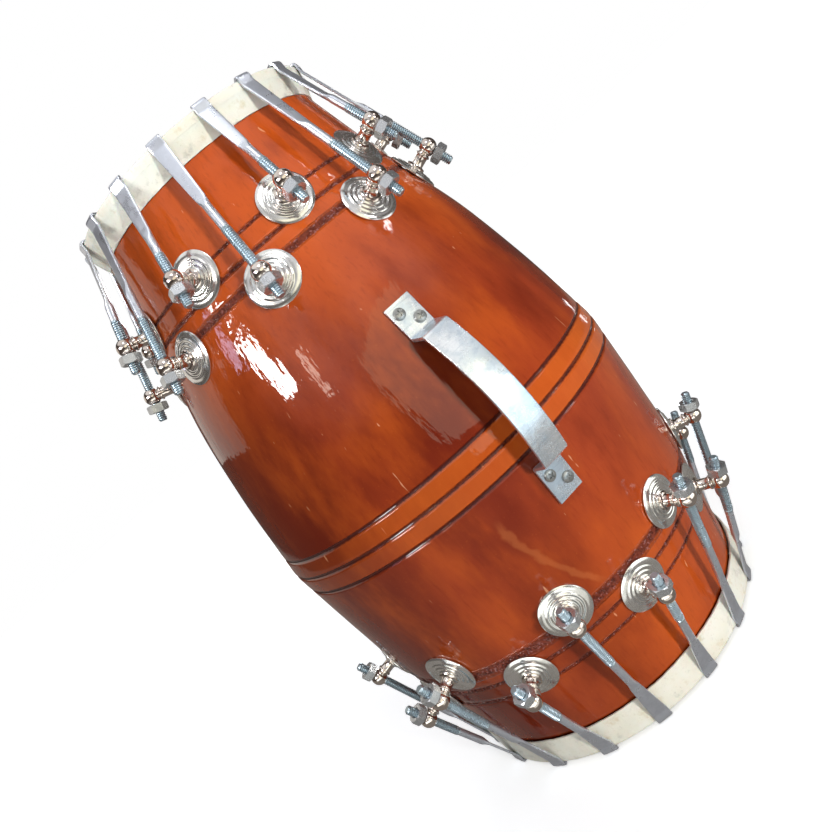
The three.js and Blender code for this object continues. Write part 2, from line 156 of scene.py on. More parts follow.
camera_data = bpy.data.cameras.new("camera")
camera = bpy.data.objects.new("camera", camera_data)
bpy.context.scene.collection.objects.link(camera)
camera.location = CAMERA_PLACE
camera.rotation_euler = [math.radians(angle) for angle in CAMERA_TURN]
camera_data.sensor_width = SENSOR_WIDTH
camera_data.lens = SENSOR_WIDTH * FOCAL_PIXELS / PHOTO_WIDTH
camera_data.clip_start = NEAREST_SEEN
bpy.context.scene.camera = camera
print("lens:", round(camera_data.lens, 1), "mm")

# %% [markdown]
# ## Shader maths that reads like arithmetic
#
# A procedural finish is a small sum over textures. Wiring Math nodes one by one hides that sum, so
# a socket is wrapped in a class whose operators add the nodes. Everything that isn't plain maths
# on numbers comes from one method, `node`, which sets a node up and links its inputs.

# %% Sockets and wiring
WHITE = (1.0, 1.0, 1.0)
EVEN = (1, 1, 1)


class Value:
    """An output socket. Arithmetic on it adds Math nodes."""

    def __init__(self, wiring, socket):
        self.wiring = wiring
        self.socket = socket

    def maths(self, operation, *terms):
        return self.wiring.node("ShaderNodeMath", {"operation": operation}, dict(enumerate(terms)))

    def __add__(self, other):
        return self.maths("ADD", self, other)

    def __radd__(self, other):
        return self.maths("ADD", other, self)

    def __sub__(self, other):
        return self.maths("SUBTRACT", self, other)

    def __rsub__(self, other):
        return self.maths("SUBTRACT", other, self)

    def __mul__(self, other):
        return self.maths("MULTIPLY", self, other)

    def __rmul__(self, other):
        return self.maths("MULTIPLY", other, self)

    def __abs__(self):
        return self.maths("ABSOLUTE", self)

    def most(self, other):
        return self.maths("MAXIMUM", self, other)


class Wiring:
    """The nodes of one material, or of the world."""

    def __init__(self, tree):
        self.tree = tree

    def node(self, kind, settings=None, inputs=None, output=0):
        made = self.tree.nodes.new(kind)
        for key, value in (settings or {}).items():
            setattr(made, key, value)
        for key, value in (inputs or {}).items():
            self.feed(made.inputs[key], value)
        return Value(self, made.outputs[output])

    def feed(self, socket, value):
        if isinstance(value, Value):
            self.tree.links.new(value.socket, socket)
        else:
            socket.default_value = value

    def backdrop_rays(self):
        """1 for the rays that see the plain white backdrop: camera, glossy and transmission."""
        seen = self.node("ShaderNodeLightPath", output="Is Camera Ray")
        for ray in ("Is Glossy Ray", "Is Transmission Ray"):
            seen = seen.most(self.node("ShaderNodeLightPath", output=ray))
        return seen


print("operators on a socket: plus, minus, times, abs() and most()")

# %% [markdown]
# ## A finish
#
# Every finish on the drum is a Principled shader with a few masks on it. The masks are noise that
# is stretched along the grain, or a plain distance from some place on the drum, and each one lays
# a paint over what is there, as a finisher lays coats. Distances in a finish are in metres.

# %% Finishes and paints


class Finish(Wiring):
    """A material built from a Principled shader and whatever feeds it. A _ in a name is a space."""

    def __init__(self, name, **constants):
        self.material = bpy.data.materials.new(name)
        self.material.use_nodes = True
        super().__init__(self.material.node_tree)
        self.shader = self.tree.nodes["Principled BSDF"]
        self.set(**constants)

    def set(self, **inputs):
        for key, value in inputs.items():
            self.feed(self.shader.inputs[key.replace("_", " ")], value)

    def place(self, stretch=EVEN):
        spot = self.node("ShaderNodeTexCoord", output="Object")
        return self.node("ShaderNodeVectorMath", {"operation": "MULTIPLY"}, {0: spot, 1: stretch})

    def axis(self, letter):
        return self.node("ShaderNodeSeparateXYZ", inputs={0: self.place()}, output=letter)

    def clouds(self, scale, detail=3, roughness=0.5, stretch=EVEN):
        wanted = {"Vector": self.place(stretch), "Scale": scale, "Detail": detail, "Roughness": roughness}
        return self.node("ShaderNodeTexNoise", {"noise_dimensions": "3D"}, wanted)

    def between(self, value, low, high, to_low=0.0, to_high=1.0):
        """A smooth step from to_low, where the value is low, to to_high, where it is high."""
        wanted = {"Value": value, "From Min": low, "From Max": high, "To Min": to_low, "To Max": to_high}
        return self.node("ShaderNodeMapRange", {"interpolation_type": "SMOOTHSTEP"}, wanted)

    def tint(self, mask, first, second):
        """One colour or the other. The colour sockets of a Mix node are its inputs 6 and 7."""
        return self.node("ShaderNodeMix", {"data_type": "RGBA"}, {0: mask, 6: first, 7: second}, output=2)

    def coats(self, colour, *layers):
        """Paints laid one over another. A layer is a mask and its paint."""
        for mask, tone in layers:
            colour = self.tint(mask, colour, tone)
        return colour

    def relief(self, height, distance, strength, over=None):
        wanted = {"Height": height, "Distance": distance, "Strength": strength}
        if over is not None:
            wanted["Normal"] = over
        return self.node("ShaderNodeBump", inputs=wanted)


def linear(channel):
    """A channel as it looks on a screen, 0 to 255, as the linear value that shaders use."""
    share = channel / 255
    return share / 12.92 if channel <= 10 else ((share + 0.055) / 1.055) ** 2.4


def paint(red, green, blue):
    return (linear(red), linear(green), linear(blue), 1.0)


print("a mid grey paint is", [round(c, 3) for c in paint(128, 128, 128)])

# %% [markdown]
# ## Studio
#
# A pale floor, a white world and a few soft lamps at a plain level. Polished metal and lacquer
# show their surroundings, so the surroundings matter as much as the lamps: a ring of dim room
# walls that only reflections can see keeps the lacquer deep and gives the plated balls their dark
# side, and a few bright panes stand for the windows that glint in the photographed lacquer.

# %% World
SKY_TONE = (0.86, 0.91, 1.0, 1.0)
SKY_STRENGTH = 0.34

scene = bpy.context.scene
scene.view_settings.view_transform = "Standard"
world = bpy.data.worlds.new("studio")
scene.world = world
world.use_nodes = True

sky = Wiring(world.node_tree)
dim = sky.tree.nodes["Background"]
sky.feed(dim.inputs["Color"], SKY_TONE)
sky.feed(dim.inputs["Strength"], SKY_STRENGTH)
backdrop = sky.node("ShaderNodeBackground", inputs={"Color": (*WHITE, 1.0)})
skies = {0: sky.backdrop_rays(), 1: Value(sky, dim.outputs[0]), 2: backdrop}
sky.feed(sky.tree.nodes["World Output"].inputs["Surface"], sky.node("ShaderNodeMixShader", inputs=skies))
print("world strength for lighting:", SKY_STRENGTH)

# %% [markdown]
# ## Floor
#
# The floor has to fade into the white backdrop and still keep the drum's shadow. A lit pale sheet
# keeps the shadow, and a glow added to it, which only the camera and reflections see, lifts the
# rest to white. Near the drum the glow is weaker, so that the shadow stays readable.

# %% Floor
FLOOR_REACH = 40.0
GLOW_NEAR = 0.2
GLOW_FAR = 1.4
GLOW_TONES = ((0.44, 0.44, 0.44, 1), (0.70, 0.70, 0.70, 1))
SQUARE = ((-1, -1), (1, -1), (1, 1), (-1, 1))


def sheet_mesh(name, corners):
    mesh = bpy.data.meshes.new(name)
    mesh.from_pydata([tuple(corner) for corner in corners], [], [tuple(range(len(corners)))])
    thing = bpy.data.objects.new(name, mesh)
    scene.collection.objects.link(thing)
    return thing


def pale_floor():
    finish = Finish("pale_floor", Roughness=0.9, Base_Color=paint(248, 248, 247))
    reach = finish.node("ShaderNodeVectorMath", {"operation": "LENGTH"}, {0: finish.place()}, output="Value")
    tone = finish.tint(finish.between(reach, GLOW_NEAR, GLOW_FAR), *GLOW_TONES)
    lit = Value(finish, finish.shader.outputs[0])
    glow = finish.node("ShaderNodeEmission", inputs={"Color": tone, "Strength": 1.0})
    both = finish.node("ShaderNodeAddShader", inputs={0: lit, 1: glow})
    shown = finish.node("ShaderNodeMixShader", inputs={0: finish.backdrop_rays(), 1: lit, 2: both})
    finish.feed(finish.tree.nodes["Material Output"].inputs["Surface"], shown)
    return finish


floor = sheet_mesh("floor", [(x * FLOOR_REACH, y * FLOOR_REACH, cad_low.z) for x, y in SQUARE])
floor.data.materials.append(pale_floor().material)
print("floor at", round(1000 * cad_low.z, 1), "mm")

# %% [markdown]
# ## Lamps
#
# Area lamps behave like a photographer's softboxes: the larger the lamp, the softer its shadow.
# The key light is small, because the handle throws a firm shadow on the wood. None of them shows
# in reflections. What the lacquer reflects is set apart, in the next cells.

# %% Lamps
AIM = Vector((0, 0, 0.235))

# Each lamp has a place in metres, a width, a height, its watts and its tone
LAMPS = {
    "key_light": ((0.24, -1.63, 0.30), 0.12, 0.12, 14.2, (1.0, 0.985, 0.96)),
    "side_light": ((1.10, -1.10, 0.60), 0.6, 0.6, 1.0, WHITE),
    "window_light": ((-0.40, -1.00, 1.20), 0.45, 0.45, 3.0, (0.96, 0.98, 1.0)),
    "top_light": ((0.0, -0.5, 1.9), 0.9, 0.9, 3.0, WHITE),
    "back_light": ((0.4, 1.6, 0.8), 1.2, 0.9, 12.0, WHITE),
}


def softbox(name, place, width, height, watts, tone):
    light = bpy.data.lights.new(name, "AREA")
    light.shape = "RECTANGLE"
    light.size = width
    light.size_y = height
    light.energy = watts
    light.color = tone
    box = bpy.data.objects.new(name, light)
    box.location = place
    box.rotation_euler = (AIM - Vector(place)).to_track_quat("-Z", "Y").to_euler()
    box.visible_camera = False
    scene.collection.objects.link(box)
    return box


for name, values in LAMPS.items():
    softbox(name, *values).visible_glossy = False
print("lamps:", len(LAMPS), "watts:", sum(values[3] for values in LAMPS.values()))

# %% [markdown]
# ## A room that only reflections see
#
# In an empty white world lacquer looks like pale plastic. A real room gives it dark walls to
# reflect. This one is a ring of wall with a carpet, hidden from the camera and from all light, so
# it changes the reflections and nothing else.

# %% Room that only reflections see
ROOM_RADIUS = 1.9
ROOM_TOP = 3.0
ROOM_SIDES = 48
CARPET_LIFT = 0.0005
DARK_WALL = (0.085, 0.07, 0.062, 1)
LIT_WALL = (0.80, 0.80, 0.83, 1)
CARPET = (0.24, 0.22, 0.20, 1)


def for_reflections_only(thing):
    thing.visible_camera = False
    thing.visible_diffuse = False
    thing.visible_shadow = False
    thing.visible_transmission = False
    thing.visible_volume_scatter = False


def glowing(name, colour, strength=1.0):
    """A surface that only shines. The colour is a function of the finish."""
    finish = Finish(name)
    finish.tree.nodes.remove(finish.shader)
    shine = finish.node("ShaderNodeEmission", inputs={"Color": colour(finish), "Strength": strength})
    finish.feed(finish.tree.nodes["Material Output"].inputs["Surface"], shine)
    return finish.material


def wall_colour(finish):
    """A pale carpet, dim walls, and a lit wall high in front of the drum."""
    height = finish.axis("Z")
    front = finish.between(finish.axis("Y"), 0.0, -1.5)
    upper = finish.between(height, 0.5, 1.1)
    uneven = finish.between(finish.clouds(1.3, detail=2), 0.35, 0.65, 0.5, 1.0)
    walls = finish.tint(front * upper * uneven, DARK_WALL, LIT_WALL)
    return finish.tint(finish.between(height, 0.012, 0.002), walls, CARPET)


def room_shape():
    angles = np.arange(ROOM_SIDES) * 2 * math.pi / ROOM_SIDES
    ring = ROOM_RADIUS * np.stack([np.cos(angles), np.sin(angles)], axis=1)
    levels = (cad_low.z + CARPET_LIFT, ROOM_TOP)
    points = np.concatenate([np.column_stack([ring, np.full(ROOM_SIDES, level)]) for level in levels])
    walls = []
    for k in range(ROOM_SIDES):
        after = (k + 1) % ROOM_SIDES
        walls.append((k, after, ROOM_SIDES + after, ROOM_SIDES + k))
    return points, walls + [tuple(range(ROOM_SIDES))]


room_mesh = bpy.data.meshes.new("dim_room")
room_points, room_faces = room_shape()
room_mesh.from_pydata(room_points.tolist(), [], room_faces)
room_mesh.materials.append(glowing("dim_room", wall_colour))
room = bpy.data.objects.new("dim_room", room_mesh)
scene.collection.objects.link(room)
for_reflections_only(room)
print("room walls:", len(room_faces) - 1)

# %% [markdown]
# ## Window panes
#
# The long glint on the lacquer is a window, broken up by what hangs in it. A bright sheet stands
# where the reflected line of sight ends, and noise tears it. Weaker sheets stand for a second
# window and for the pale haze of the room. Sheets are used because a lamp can't have this outline.

# %% Window panes
PANE_DARK = (0.06, 0.05, 0.05, 1)
WINDOW_TONE = (1.0, 0.97, 0.96)

# Each pane has its corners in metres, its strength, its tone, and how far it is torn
PANES = {
    "pane_wide": (
        ((-1.31, -0.27, 1.13), (-1.19, -0.53, 1.16), (-1.18, -0.83, 0.82), (-1.34, -0.59, 0.79)),
        42, WINDOW_TONE, 0.55,
    ),
    "pane_slim": (
        ((-1.00, -0.98, 1.00), (-0.93, -1.05, 1.00), (-1.00, -1.13, 0.73), (-1.06, -1.07, 0.72)),
        9, (1.0, 0.86, 0.74), 0.15,
    ),
    "pane_violet": (
        ((-1.34, -0.05, 1.10), (-1.29, -0.20, 1.14), (-1.33, -0.22, 1.02), (-1.37, -0.04, 1.00)),
        8, (0.74, 0.70, 1.0), 0.8,
    ),
    "pane_right": (
        ((1.12, -0.76, 1.03), (1.20, -0.64, 1.03), (1.20, -0.64, 1.12), (1.12, -0.76, 1.12)),
        24, WINDOW_TONE, 0.0,
    ),
    "pane_low_right": (
        ((1.36, 0.55, 0.02), (1.36, 0.63, 0.02), (1.36, 0.63, 0.10), (1.36, 0.55, 0.10)),
        6, WINDOW_TONE, 0.0,
    ),
    "pane_far_left": (
        ((-1.38, 0.56, 0.56), (-0.45, 1.42, 0.33), (-0.45, 1.42, 1.15), (-1.38, 0.56, 1.15)),
        0.8, (1.0, 0.93, 0.84), 0.0,
    ),
    "pane_front_low": (
        ((0.22, -1.15, 0.02), (0.62, -1.00, 0.02), (0.62, -1.00, 0.22), (0.22, -1.15, 0.22)),
        1.0, WINDOW_TONE, 0.0,
    ),
    "pane_haze": (
        ((-0.45, -1.40, 0.76), (-0.50, -1.46, 0.60), (-0.42, -1.53, 0.38), (-0.22, -1.57, 0.28),
         (0.30, -1.57, 0.22), (0.75, -1.40, 0.52), (0.70, -1.32, 0.95)),
        1.5, (1.0, 0.95, 0.76), 0.0,
    ),
}


def pane(name, corners, strength, tone, torn):
    def torn_colour(finish):
        shreds = finish.clouds(14, detail=5, roughness=0.75, stretch=(1, 1, 2.2))
        return finish.tint(finish.between(shreds, 0.38, 0.48, 1.0 - torn, 1.0), PANE_DARK, (*tone, 1.0))

    made = sheet_mesh(name, corners)
    made.data.materials.append(glowing(name, torn_colour, strength))
    for_reflections_only(made)


for name, values in PANES.items():
    pane(name, *values)
print("panes:", list(PANES))

# %% [markdown]
# ## Mesh helpers
#
# Nearly everything on a drum is turned, swept or lofted: rings of points joined by quads. Two
# helpers cover it, one for a profile spun about an axis and one for a stack of rings. The points
# stay numpy arrays until they are in place, because arrays are quick to bend, turn and move.

# %% Rings, spins and pieces


def skin_over(rings, closed_ends=True, closed_loop=False):
    """Points and faces of a stack of rings that all have as many points."""
    stack = np.asarray(rings, float)
    count, around, _ = stack.shape
    faces = []
    for k in range(count if closed_loop else count - 1):
        low, high = k * around, (k + 1) % count * around
        for i in range(around):
            j = (i + 1) % around
            faces.append((low + i, low + j, high + j, high + i))
    if closed_ends and not closed_loop:
        faces.append(tuple(reversed(range(around))))
        faces.append(tuple(range((count - 1) * around, count * around)))
    return stack.reshape(-1, 3), faces


def spun(profile, around, loop=False):
    """A [radius, height] profile turned about Z. Points on the axis are joined up afterwards."""
    angles = np.arange(around) * 2 * math.pi / around
    ring = np.stack([np.cos(angles), np.sin(angles)], axis=1)
    rings = [np.column_stack([radius * ring, np.full(around, height)]) for radius, height in profile]
    return skin_over(rings, closed_ends=False, closed_loop=loop)


def stand_on(points, place, axis):
    """Points drawn round +Z, moved so that +Z runs along an axis from a place."""
    turn = Vector((0, 0, 1)).rotation_difference(Vector(axis)).to_matrix()
    return points @ np.array(turn).T + np.asarray(place, float)


def joined(*parts):
    points, faces, start = [], [], 0
    for some_points, some_faces in parts:
        points.append(some_points)
        faces += [tuple(start + i for i in face) for face in some_faces]
        start += len(some_points)
    return np.concatenate(points), faces


def tidy_mesh(mesh, distance):
    """Points closer than the distance become one, and all faces look outward."""
    work = bmesh.new()
    work.from_mesh(mesh)
    bmesh.ops.remove_doubles(work, verts=work.verts, dist=distance)
    bmesh.ops.dissolve_degenerate(work, edges=work.edges, dist=distance / 10)
    bmesh.ops.recalc_face_normals(work, faces=work.faces)
    work.to_mesh(mesh)
    work.free()


def piece(name, shape, finish, body="drum", crease=32, weld=0.002):
    """A named piece of the drum from points in millimetres and faces, riding on its body."""
    points, faces = shape
    mesh = bpy.data.meshes.new(name)
    mesh.from_pydata((points * MM).tolist(), [], faces)
    tidy_mesh(mesh, weld * MM)
    mesh.shade_smooth()
    mesh.set_sharp_from_angle(angle=math.radians(crease))
    mesh.materials.append(finish.material)
    made = bpy.data.objects.new(name, mesh)
    scene.collection.objects.link(made)
    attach(made, body)
    return made


def filleted(corners, radii, steps):
    """A polyline in a plane whose inner corners are rounded to the given radii."""
    corners = [np.asarray(c, float) for c in corners]
    path = [corners[0]]
    for before, corner, after, radius in zip(corners, corners[1:], corners[2:], radii):
        to_before = (before - corner) / np.linalg.norm(before - corner)
        to_after = (after - corner) / np.linalg.norm(after - corner)
        half = math.acos(max(-1, min(1, float(to_before @ to_after)))) / 2
        reach = radius / math.tan(half)
        first, last = corner + reach * to_before, corner + reach * to_after
        shares = np.linspace(0, 1, steps)
        path += [(1 - t) ** 2 * first + 2 * t * (1 - t) * corner + t * t * last for t in shares]
    path.append(corners[-1])
    return np.array(path)


print("points of a spun square:", len(spun([(1, 0), (2, 0), (2, 1), (1, 1)], 4)[0]))

# %% [markdown]
# ## The shell
#
# The shell is turned on a lathe, so it is one profile spun about the drum's axis. The wall swells
# in a smooth curve from each shoulder to the belly, where the two curves meet in a soft corner.
# Lathe work is never perfect, so the surface gets waves of a few hundredths of a millimetre. They
# can't be measured by eye, but they break up the reflection of the lamps in the lacquer.

# %% Wall of the shell
BASS_SWELL = [(0, 0), (0.26, 0.36), (0.41, 0.605), (0.665, 0.8), (1, 1)]
TREBLE_SWELL = [(0, 0), (0.21, 0.235), (0.32, 0.365), (0.505, 0.61), (0.72, 0.81), (1, 1)]
BELLY_SOFTNESS = 5.0


def swell_points(end):
    """Depth and radius where the swelling of one end bends."""
    shares = TREBLE_SWELL if end.turned_over else BASS_SWELL
    run, rise = end.height(BELLY_HEIGHT) - end.shoulder_depth, BELLY_RADIUS - end.shoulder
    return [(end.shoulder_depth + run * along, end.shoulder + rise * out) for along, out in shares]


def swell_curve(end, heights):
    """Radius at each height: a smooth curve through the swelling's points."""
    spots = np.array(sorted((end.height(depth), radius) for depth, radius in swell_points(end)))
    slopes = np.gradient(spots[:, 1], spots[:, 0])
    k = np.clip(np.searchsorted(spots[:, 0], heights) - 1, 0, len(spots) - 2)
    span = spots[k + 1, 0] - spots[k, 0]
    t = (heights - spots[k, 0]) / span
    return (
        (2 * t ** 3 - 3 * t ** 2 + 1) * spots[k, 1] + (t ** 3 - 2 * t ** 2 + t) * span * slopes[k]
        + (3 * t ** 2 - 2 * t ** 3) * spots[k + 1, 1] + (t ** 3 - t ** 2) * span * slopes[k + 1]
    )


def plain_wall(height):
    """Outer radius of the shell without its grooves."""
    spread = np.linspace(-BELLY_SOFTNESS, BELLY_SOFTNESS, 9)
    near = np.clip(np.asarray(height, float)[..., None] + spread, WALL_LOW, WALL_HIGH)
    radius = np.where(near < BELLY_HEIGHT, swell_curve(BASS, near), swell_curve(TREBLE, near))
    return radius.mean(axis=-1)


print("belly radius:", round(float(plain_wall(BELLY_HEIGHT)), 1), "mm")

# %% Grooves
BELLY_STEP = 13.9

# Each cut has half its width and its depth
BELLY_CUT = (1.8, 1.3)
OUTER_CUT = (1.2, 0.7)
MIDDLE_CUT = (1.5, 0.8)
ROUGH_DEPTH = 0.9


def groove_list():
    """Every groove as (height, half its width, depth)."""
    cuts = [(BELLY_HEIGHT + step * BELLY_STEP, *BELLY_CUT) for step in (-1, 0, 1)]
    for end in ENDS:
        outer, middle, inner = end.grooves
        cuts += [(end.height(outer), *OUTER_CUT), (end.height(middle), *MIDDLE_CUT)]
        cuts.append((end.height(inner), end.rough_half, ROUGH_DEPTH))
    return cuts


def groove_depth(height):
    cut = 0.0
    for middle, half, depth in groove_list():
        off = abs(height - middle) / half
        if off < 1:
            cut = max(cut, depth * (1 - off * off))
    return cut


print("grooves:", len(groove_list()))

# %% Shell mesh
SHELL_AROUND = 240
ROW_STEP = 4.0
SMALLEST_STEP = 0.15
BELLY_ROWS = np.arange(-8, 8.1, 1.0)
GROOVE_SHARES = (-1.05, -1, -0.75, -0.5, -0.25, 0, 0.25, 0.5, 0.75, 1, 1.05)
SEAT_STEP = 0.1
MOUTH = HIDE + CLEARANCE
MOUTH_WALL = 12
WAVE_HEIGHT = 0.05
WAVE_LENGTH = 26.0

# Radius and height where the turned hollow bends, from the treble end down
HOLLOW = [(95.8, 374), (124.2, 211), (119.3, 99)]


def shell_heights():
    heights = [*np.arange(WALL_LOW, WALL_HIGH, ROW_STEP), WALL_HIGH]
    for middle, half, _ in groove_list():
        heights += [middle + half * share for share in GROOVE_SHARES]
    heights = sorted(heights + [BELLY_HEIGHT + step for step in BELLY_ROWS])
    return [h for k, h in enumerate(heights) if k == 0 or h - heights[k - 1] > SMALLEST_STEP]


def shell_shape():
    top = DRUM_LENGTH - MOUTH
    outside = [(BASS.neck, MOUTH), (BASS.neck, WALL_LOW - SEAT_STEP)]
    outside += [(float(plain_wall(h)) - groove_depth(h), h) for h in shell_heights()]
    outside += [(TREBLE.neck, WALL_HIGH + SEAT_STEP), (TREBLE.neck, top)]
    bore = [(TREBLE.neck - MOUTH_WALL, top)] + HOLLOW + [(BASS.neck - MOUTH_WALL, MOUTH)]
    points, faces = spun(outside + bore, SHELL_AROUND, loop=True)
    for k, point in enumerate(points):
        radius = math.hypot(point[0], point[1])
        if WALL_LOW < point[2] < WALL_HIGH and radius > float(plain_wall(point[2])) - 3:
            spot = Vector(point / WAVE_LENGTH)
            wave = noise.noise(spot) + 0.5 * noise.noise(spot * 2.3)
            points[k, :2] *= 1 + WAVE_HEIGHT * wave / radius
    return points, faces


print("rows of points on the wall:", len(shell_heights()))

# %% [markdown]
# ## Lacquered wood
#
# The wood is stained red-brown and covered with a thick clear lacquer. The stain soaks in
# unevenly, so slow clouds carry the colour and fine fibres run along the drum. The grooves are
# burnt dark, and the two raised bands between the belly grooves stay lighter and more orange. The
# gloss is the surface itself, almost a mirror, because the lacquer hides the wood's own sheen.

# %% Stain, painted shade and grain
CLOUDS_PER_METRE = 8


def stain_and_painted_shading(finish, height, patches):
    """Slow clouds of stain, warmer low in front, lighter towards the treble end, and painted shade on both
    sides.
    """
    across = finish.axis("X")
    slow = finish.clouds(CLOUDS_PER_METRE, detail=3, roughness=0.6, stretch=(1, 1, 0.55))
    low = finish.between(height, 0.19, 0.07) * finish.between(across, -0.09, -0.02, 0.12, 0.48)
    # Painted shade: the left side, below the treble end, is darkened as if turned away from the light.
    left = finish.between(across, -0.074, -0.118, 0, 0.55) * finish.between(height, 0.38, 0.30)
    # The colour of the painted shade on both sides.
    side = paint(92, 27, 11)
    return finish.coats(
        finish.tint(finish.between(slow, 0.32, 0.68), paint(105, 31, 16), paint(162, 63, 30)),
        # Lighter and more orange towards the treble end, which is on top: partly the stain, partly painted
        # light from above.
        (finish.between(height, 0.27, 0.40, 0, 0.68), paint(222, 96, 28)),
        (low, paint(206, 90, 28)),
        (left, side),
        # Painted shade on the right side.
        (finish.between(across, 0.080, 0.112, 0, 0.38), side),
        (finish.between(patches, 0.42, 0.74, 0, 0.42), paint(212, 96, 30)),
        (finish.between(patches, 0.47, 0.24, 0, 0.50), paint(106, 30, 12)),
    )


def grained(finish, colour):
    """Dark fibres along the drum, pale specks, and nicks down to the raw wood."""
    fibres = finish.clouds(520, detail=3, roughness=0.6, stretch=(1, 1, 0.10))
    specks = finish.clouds(900, detail=2, roughness=0.5)
    nicks = finish.clouds(300, detail=2, roughness=0.5, stretch=(1, 1, 0.12))
    return finish.coats(
        colour,
        (finish.between(fibres, 0.50, 0.75, 0, 0.20), paint(100, 28, 10)),
        (finish.between(specks, 0.66, 0.74, 0, 0.12), paint(222, 118, 50)),
        (finish.between(nicks, 0.735, 0.775, 0, 0.55), paint(238, 176, 128)),
    )


print("greatest stain cloud:", round(1000 / CLOUDS_PER_METRE), "mm across")

# %% Marks on the wood
RUN_TOP = 0.174
FALLS_PER_METRE = 15.9


def front_half(finish):
    return finish.between(finish.axis("Y"), 0.0, -0.05)


def painted_handle_shadow(finish, height):
    """Painted shadow of the strap: the strip of wood under it, a little darker."""
    strip = finish.between(abs(finish.axis("X") + 0.002), 0.013, 0.009) * front_half(finish)
    return strip * finish.between(abs(height - 0.235), 0.075, 0.060, 0, 0.42)


def stain_run(finish, height):
    """A pale run in the stain, which bends as it falls. The fall is 0 at its top and 1 at its end."""
    fall = (RUN_TOP - height) * FALLS_PER_METRE
    run = finish.axis("X") + 0.045 - fall * 0.006 - fall * fall * 0.017
    wander = finish.between(finish.clouds(90, detail=3), 0.3, 0.7, -0.0012, 0.0012)
    ends = finish.between(height, 0.182, 0.170) * finish.between(height, 0.100, 0.112)
    return finish.between(abs(run + wander), 0.0036, 0.0010, 0, 0.17) * ends * front_half(finish)


def groove_masks(finish, height):
    """Where grooves are burnt, where their edges are rough, and where fibres are torn out."""
    ragged = finish.between(finish.clouds(430, detail=3), 0.3, 0.7, -0.0002, 0.0002)
    burnt = rough = torn = 0.0
    for middle, half, depth in groove_list():
        off = abs(height - middle * MM) + ragged
        burnt = finish.between(off, half * MM * 0.9, half * MM * 0.4).most(burnt)
        if depth < BELLY_CUT[1]:
            rough = finish.between(off, half * MM * 1.2, half * MM * 0.8).most(rough)
            torn = finish.between(off, half * MM * 0.76, half * MM * 0.62).most(torn)
    return burnt, rough, torn


def raised_bands_and_painted_shade(finish, height):
    """The two bands between the belly grooves. Their lighter tint fades towards the left as painted shade.
    """
    across_bands = abs(height - BELLY_HEIGHT * MM)
    band = finish.between(across_bands, BELLY_STEP * MM, (BELLY_STEP - 1.4) * MM, 0, 0.48)
    # Painted shade: the band tint weakens towards the darker left side and is strongest in the front middle.
    return band * finish.between(finish.axis("X"), -0.12, -0.02, 0.35, 1.2)


print("the run in the stain falls", round(1000 / FALLS_PER_METRE), "mm")

# %% Wood finish


def lacquered_wood():
    finish = Finish("lacquered_wood", IOR=1.5, Specular_IOR_Level=0.5)
    height = finish.axis("Z")
    patches = finish.clouds(27, detail=4, roughness=0.58, stretch=(1, 1, 0.45))
    grit = finish.clouds(420, detail=4, roughness=0.75)
    # Noise for painted glints: pale specks that stand in for light sparkling on the broken lacquer of the
    # rough edges.
    painted_sparkles = finish.clouds(560, detail=2, roughness=0.6)
    peel = finish.clouds(95, detail=2, roughness=0.5)
    brush = finish.clouds(250, detail=2, roughness=0.5, stretch=(1, 1, 0.16))
    burnt, rough, torn = groove_masks(finish, height)
    colour = finish.coats(
        grained(finish, stain_and_painted_shading(finish, height, patches)),
        # Painted shadow of the handle on the wood.
        (painted_handle_shadow(finish, height), paint(60, 16, 10)),
        (stain_run(finish, height), paint(230, 140, 78)),
        (raised_bands_and_painted_shade(finish, height), finish.tint(patches, paint(206, 82, 20), paint(232, 122, 44))),
        (burnt * finish.between(grit, 0.36, 0.62, 0.95, 0.78), paint(58, 22, 20)),
        (torn * finish.between(grit, 0.42, 0.58, 0.25, 0.9), paint(146, 66, 46)),
        # Painted glints: pale specks along the rough groove edges.
        (rough * finish.between(painted_sparkles, 0.58, 0.66, 0, 0.55), paint(196, 140, 136)),
    )
    skin = finish.relief(peel, 0.0004, 0.25)
    skin = finish.relief(brush, 0.00022, 0.8, over=skin)
    skin = finish.relief(grit * rough, 0.0030, 1.0, over=skin)
    gloss = finish.between(patches, 0.3, 0.7, 0.035, 0.06)
    finish.set(Base_Color=colour, Normal=skin, Roughness=gloss + rough * 0.04)
    return finish


shell = piece("shell_wood", shell_shape(), lacquered_wood(), crease=50)
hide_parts("shell")
print("shell points:", len(shell.data.vertices))

# %% [markdown]
# ## Rawhide heads
#
# Each head is one piece of hide: it lies flat over the mouth, dips where it leaves the wood, rolls
# over the steel hoop and comes down as a collar. The hide was fitted wet and dried in place, so
# the collar is faintly puckered and its cut edge wanders. A spun profile gives the form, and small
# waves that follow the collar round give the puckers.

# %% Hide shapes
HIDE_AROUND = 300
FACE_SHARES = (0.25, 0.5, 0.75, 0.9, 0.975)
RIM_GAP = 1.7
ROLL_STEPS = 9
ROLL_HEIGHT = 1.1
COLLAR_BULGE = 0.35


def to_row_frame(points, end):
    """Points drawn with depth along +Z, placed at their own end of the drum."""
    if not end.turned_over:
        return points
    return points * [1, -1, -1] + [0, 0, DRUM_LENGTH]


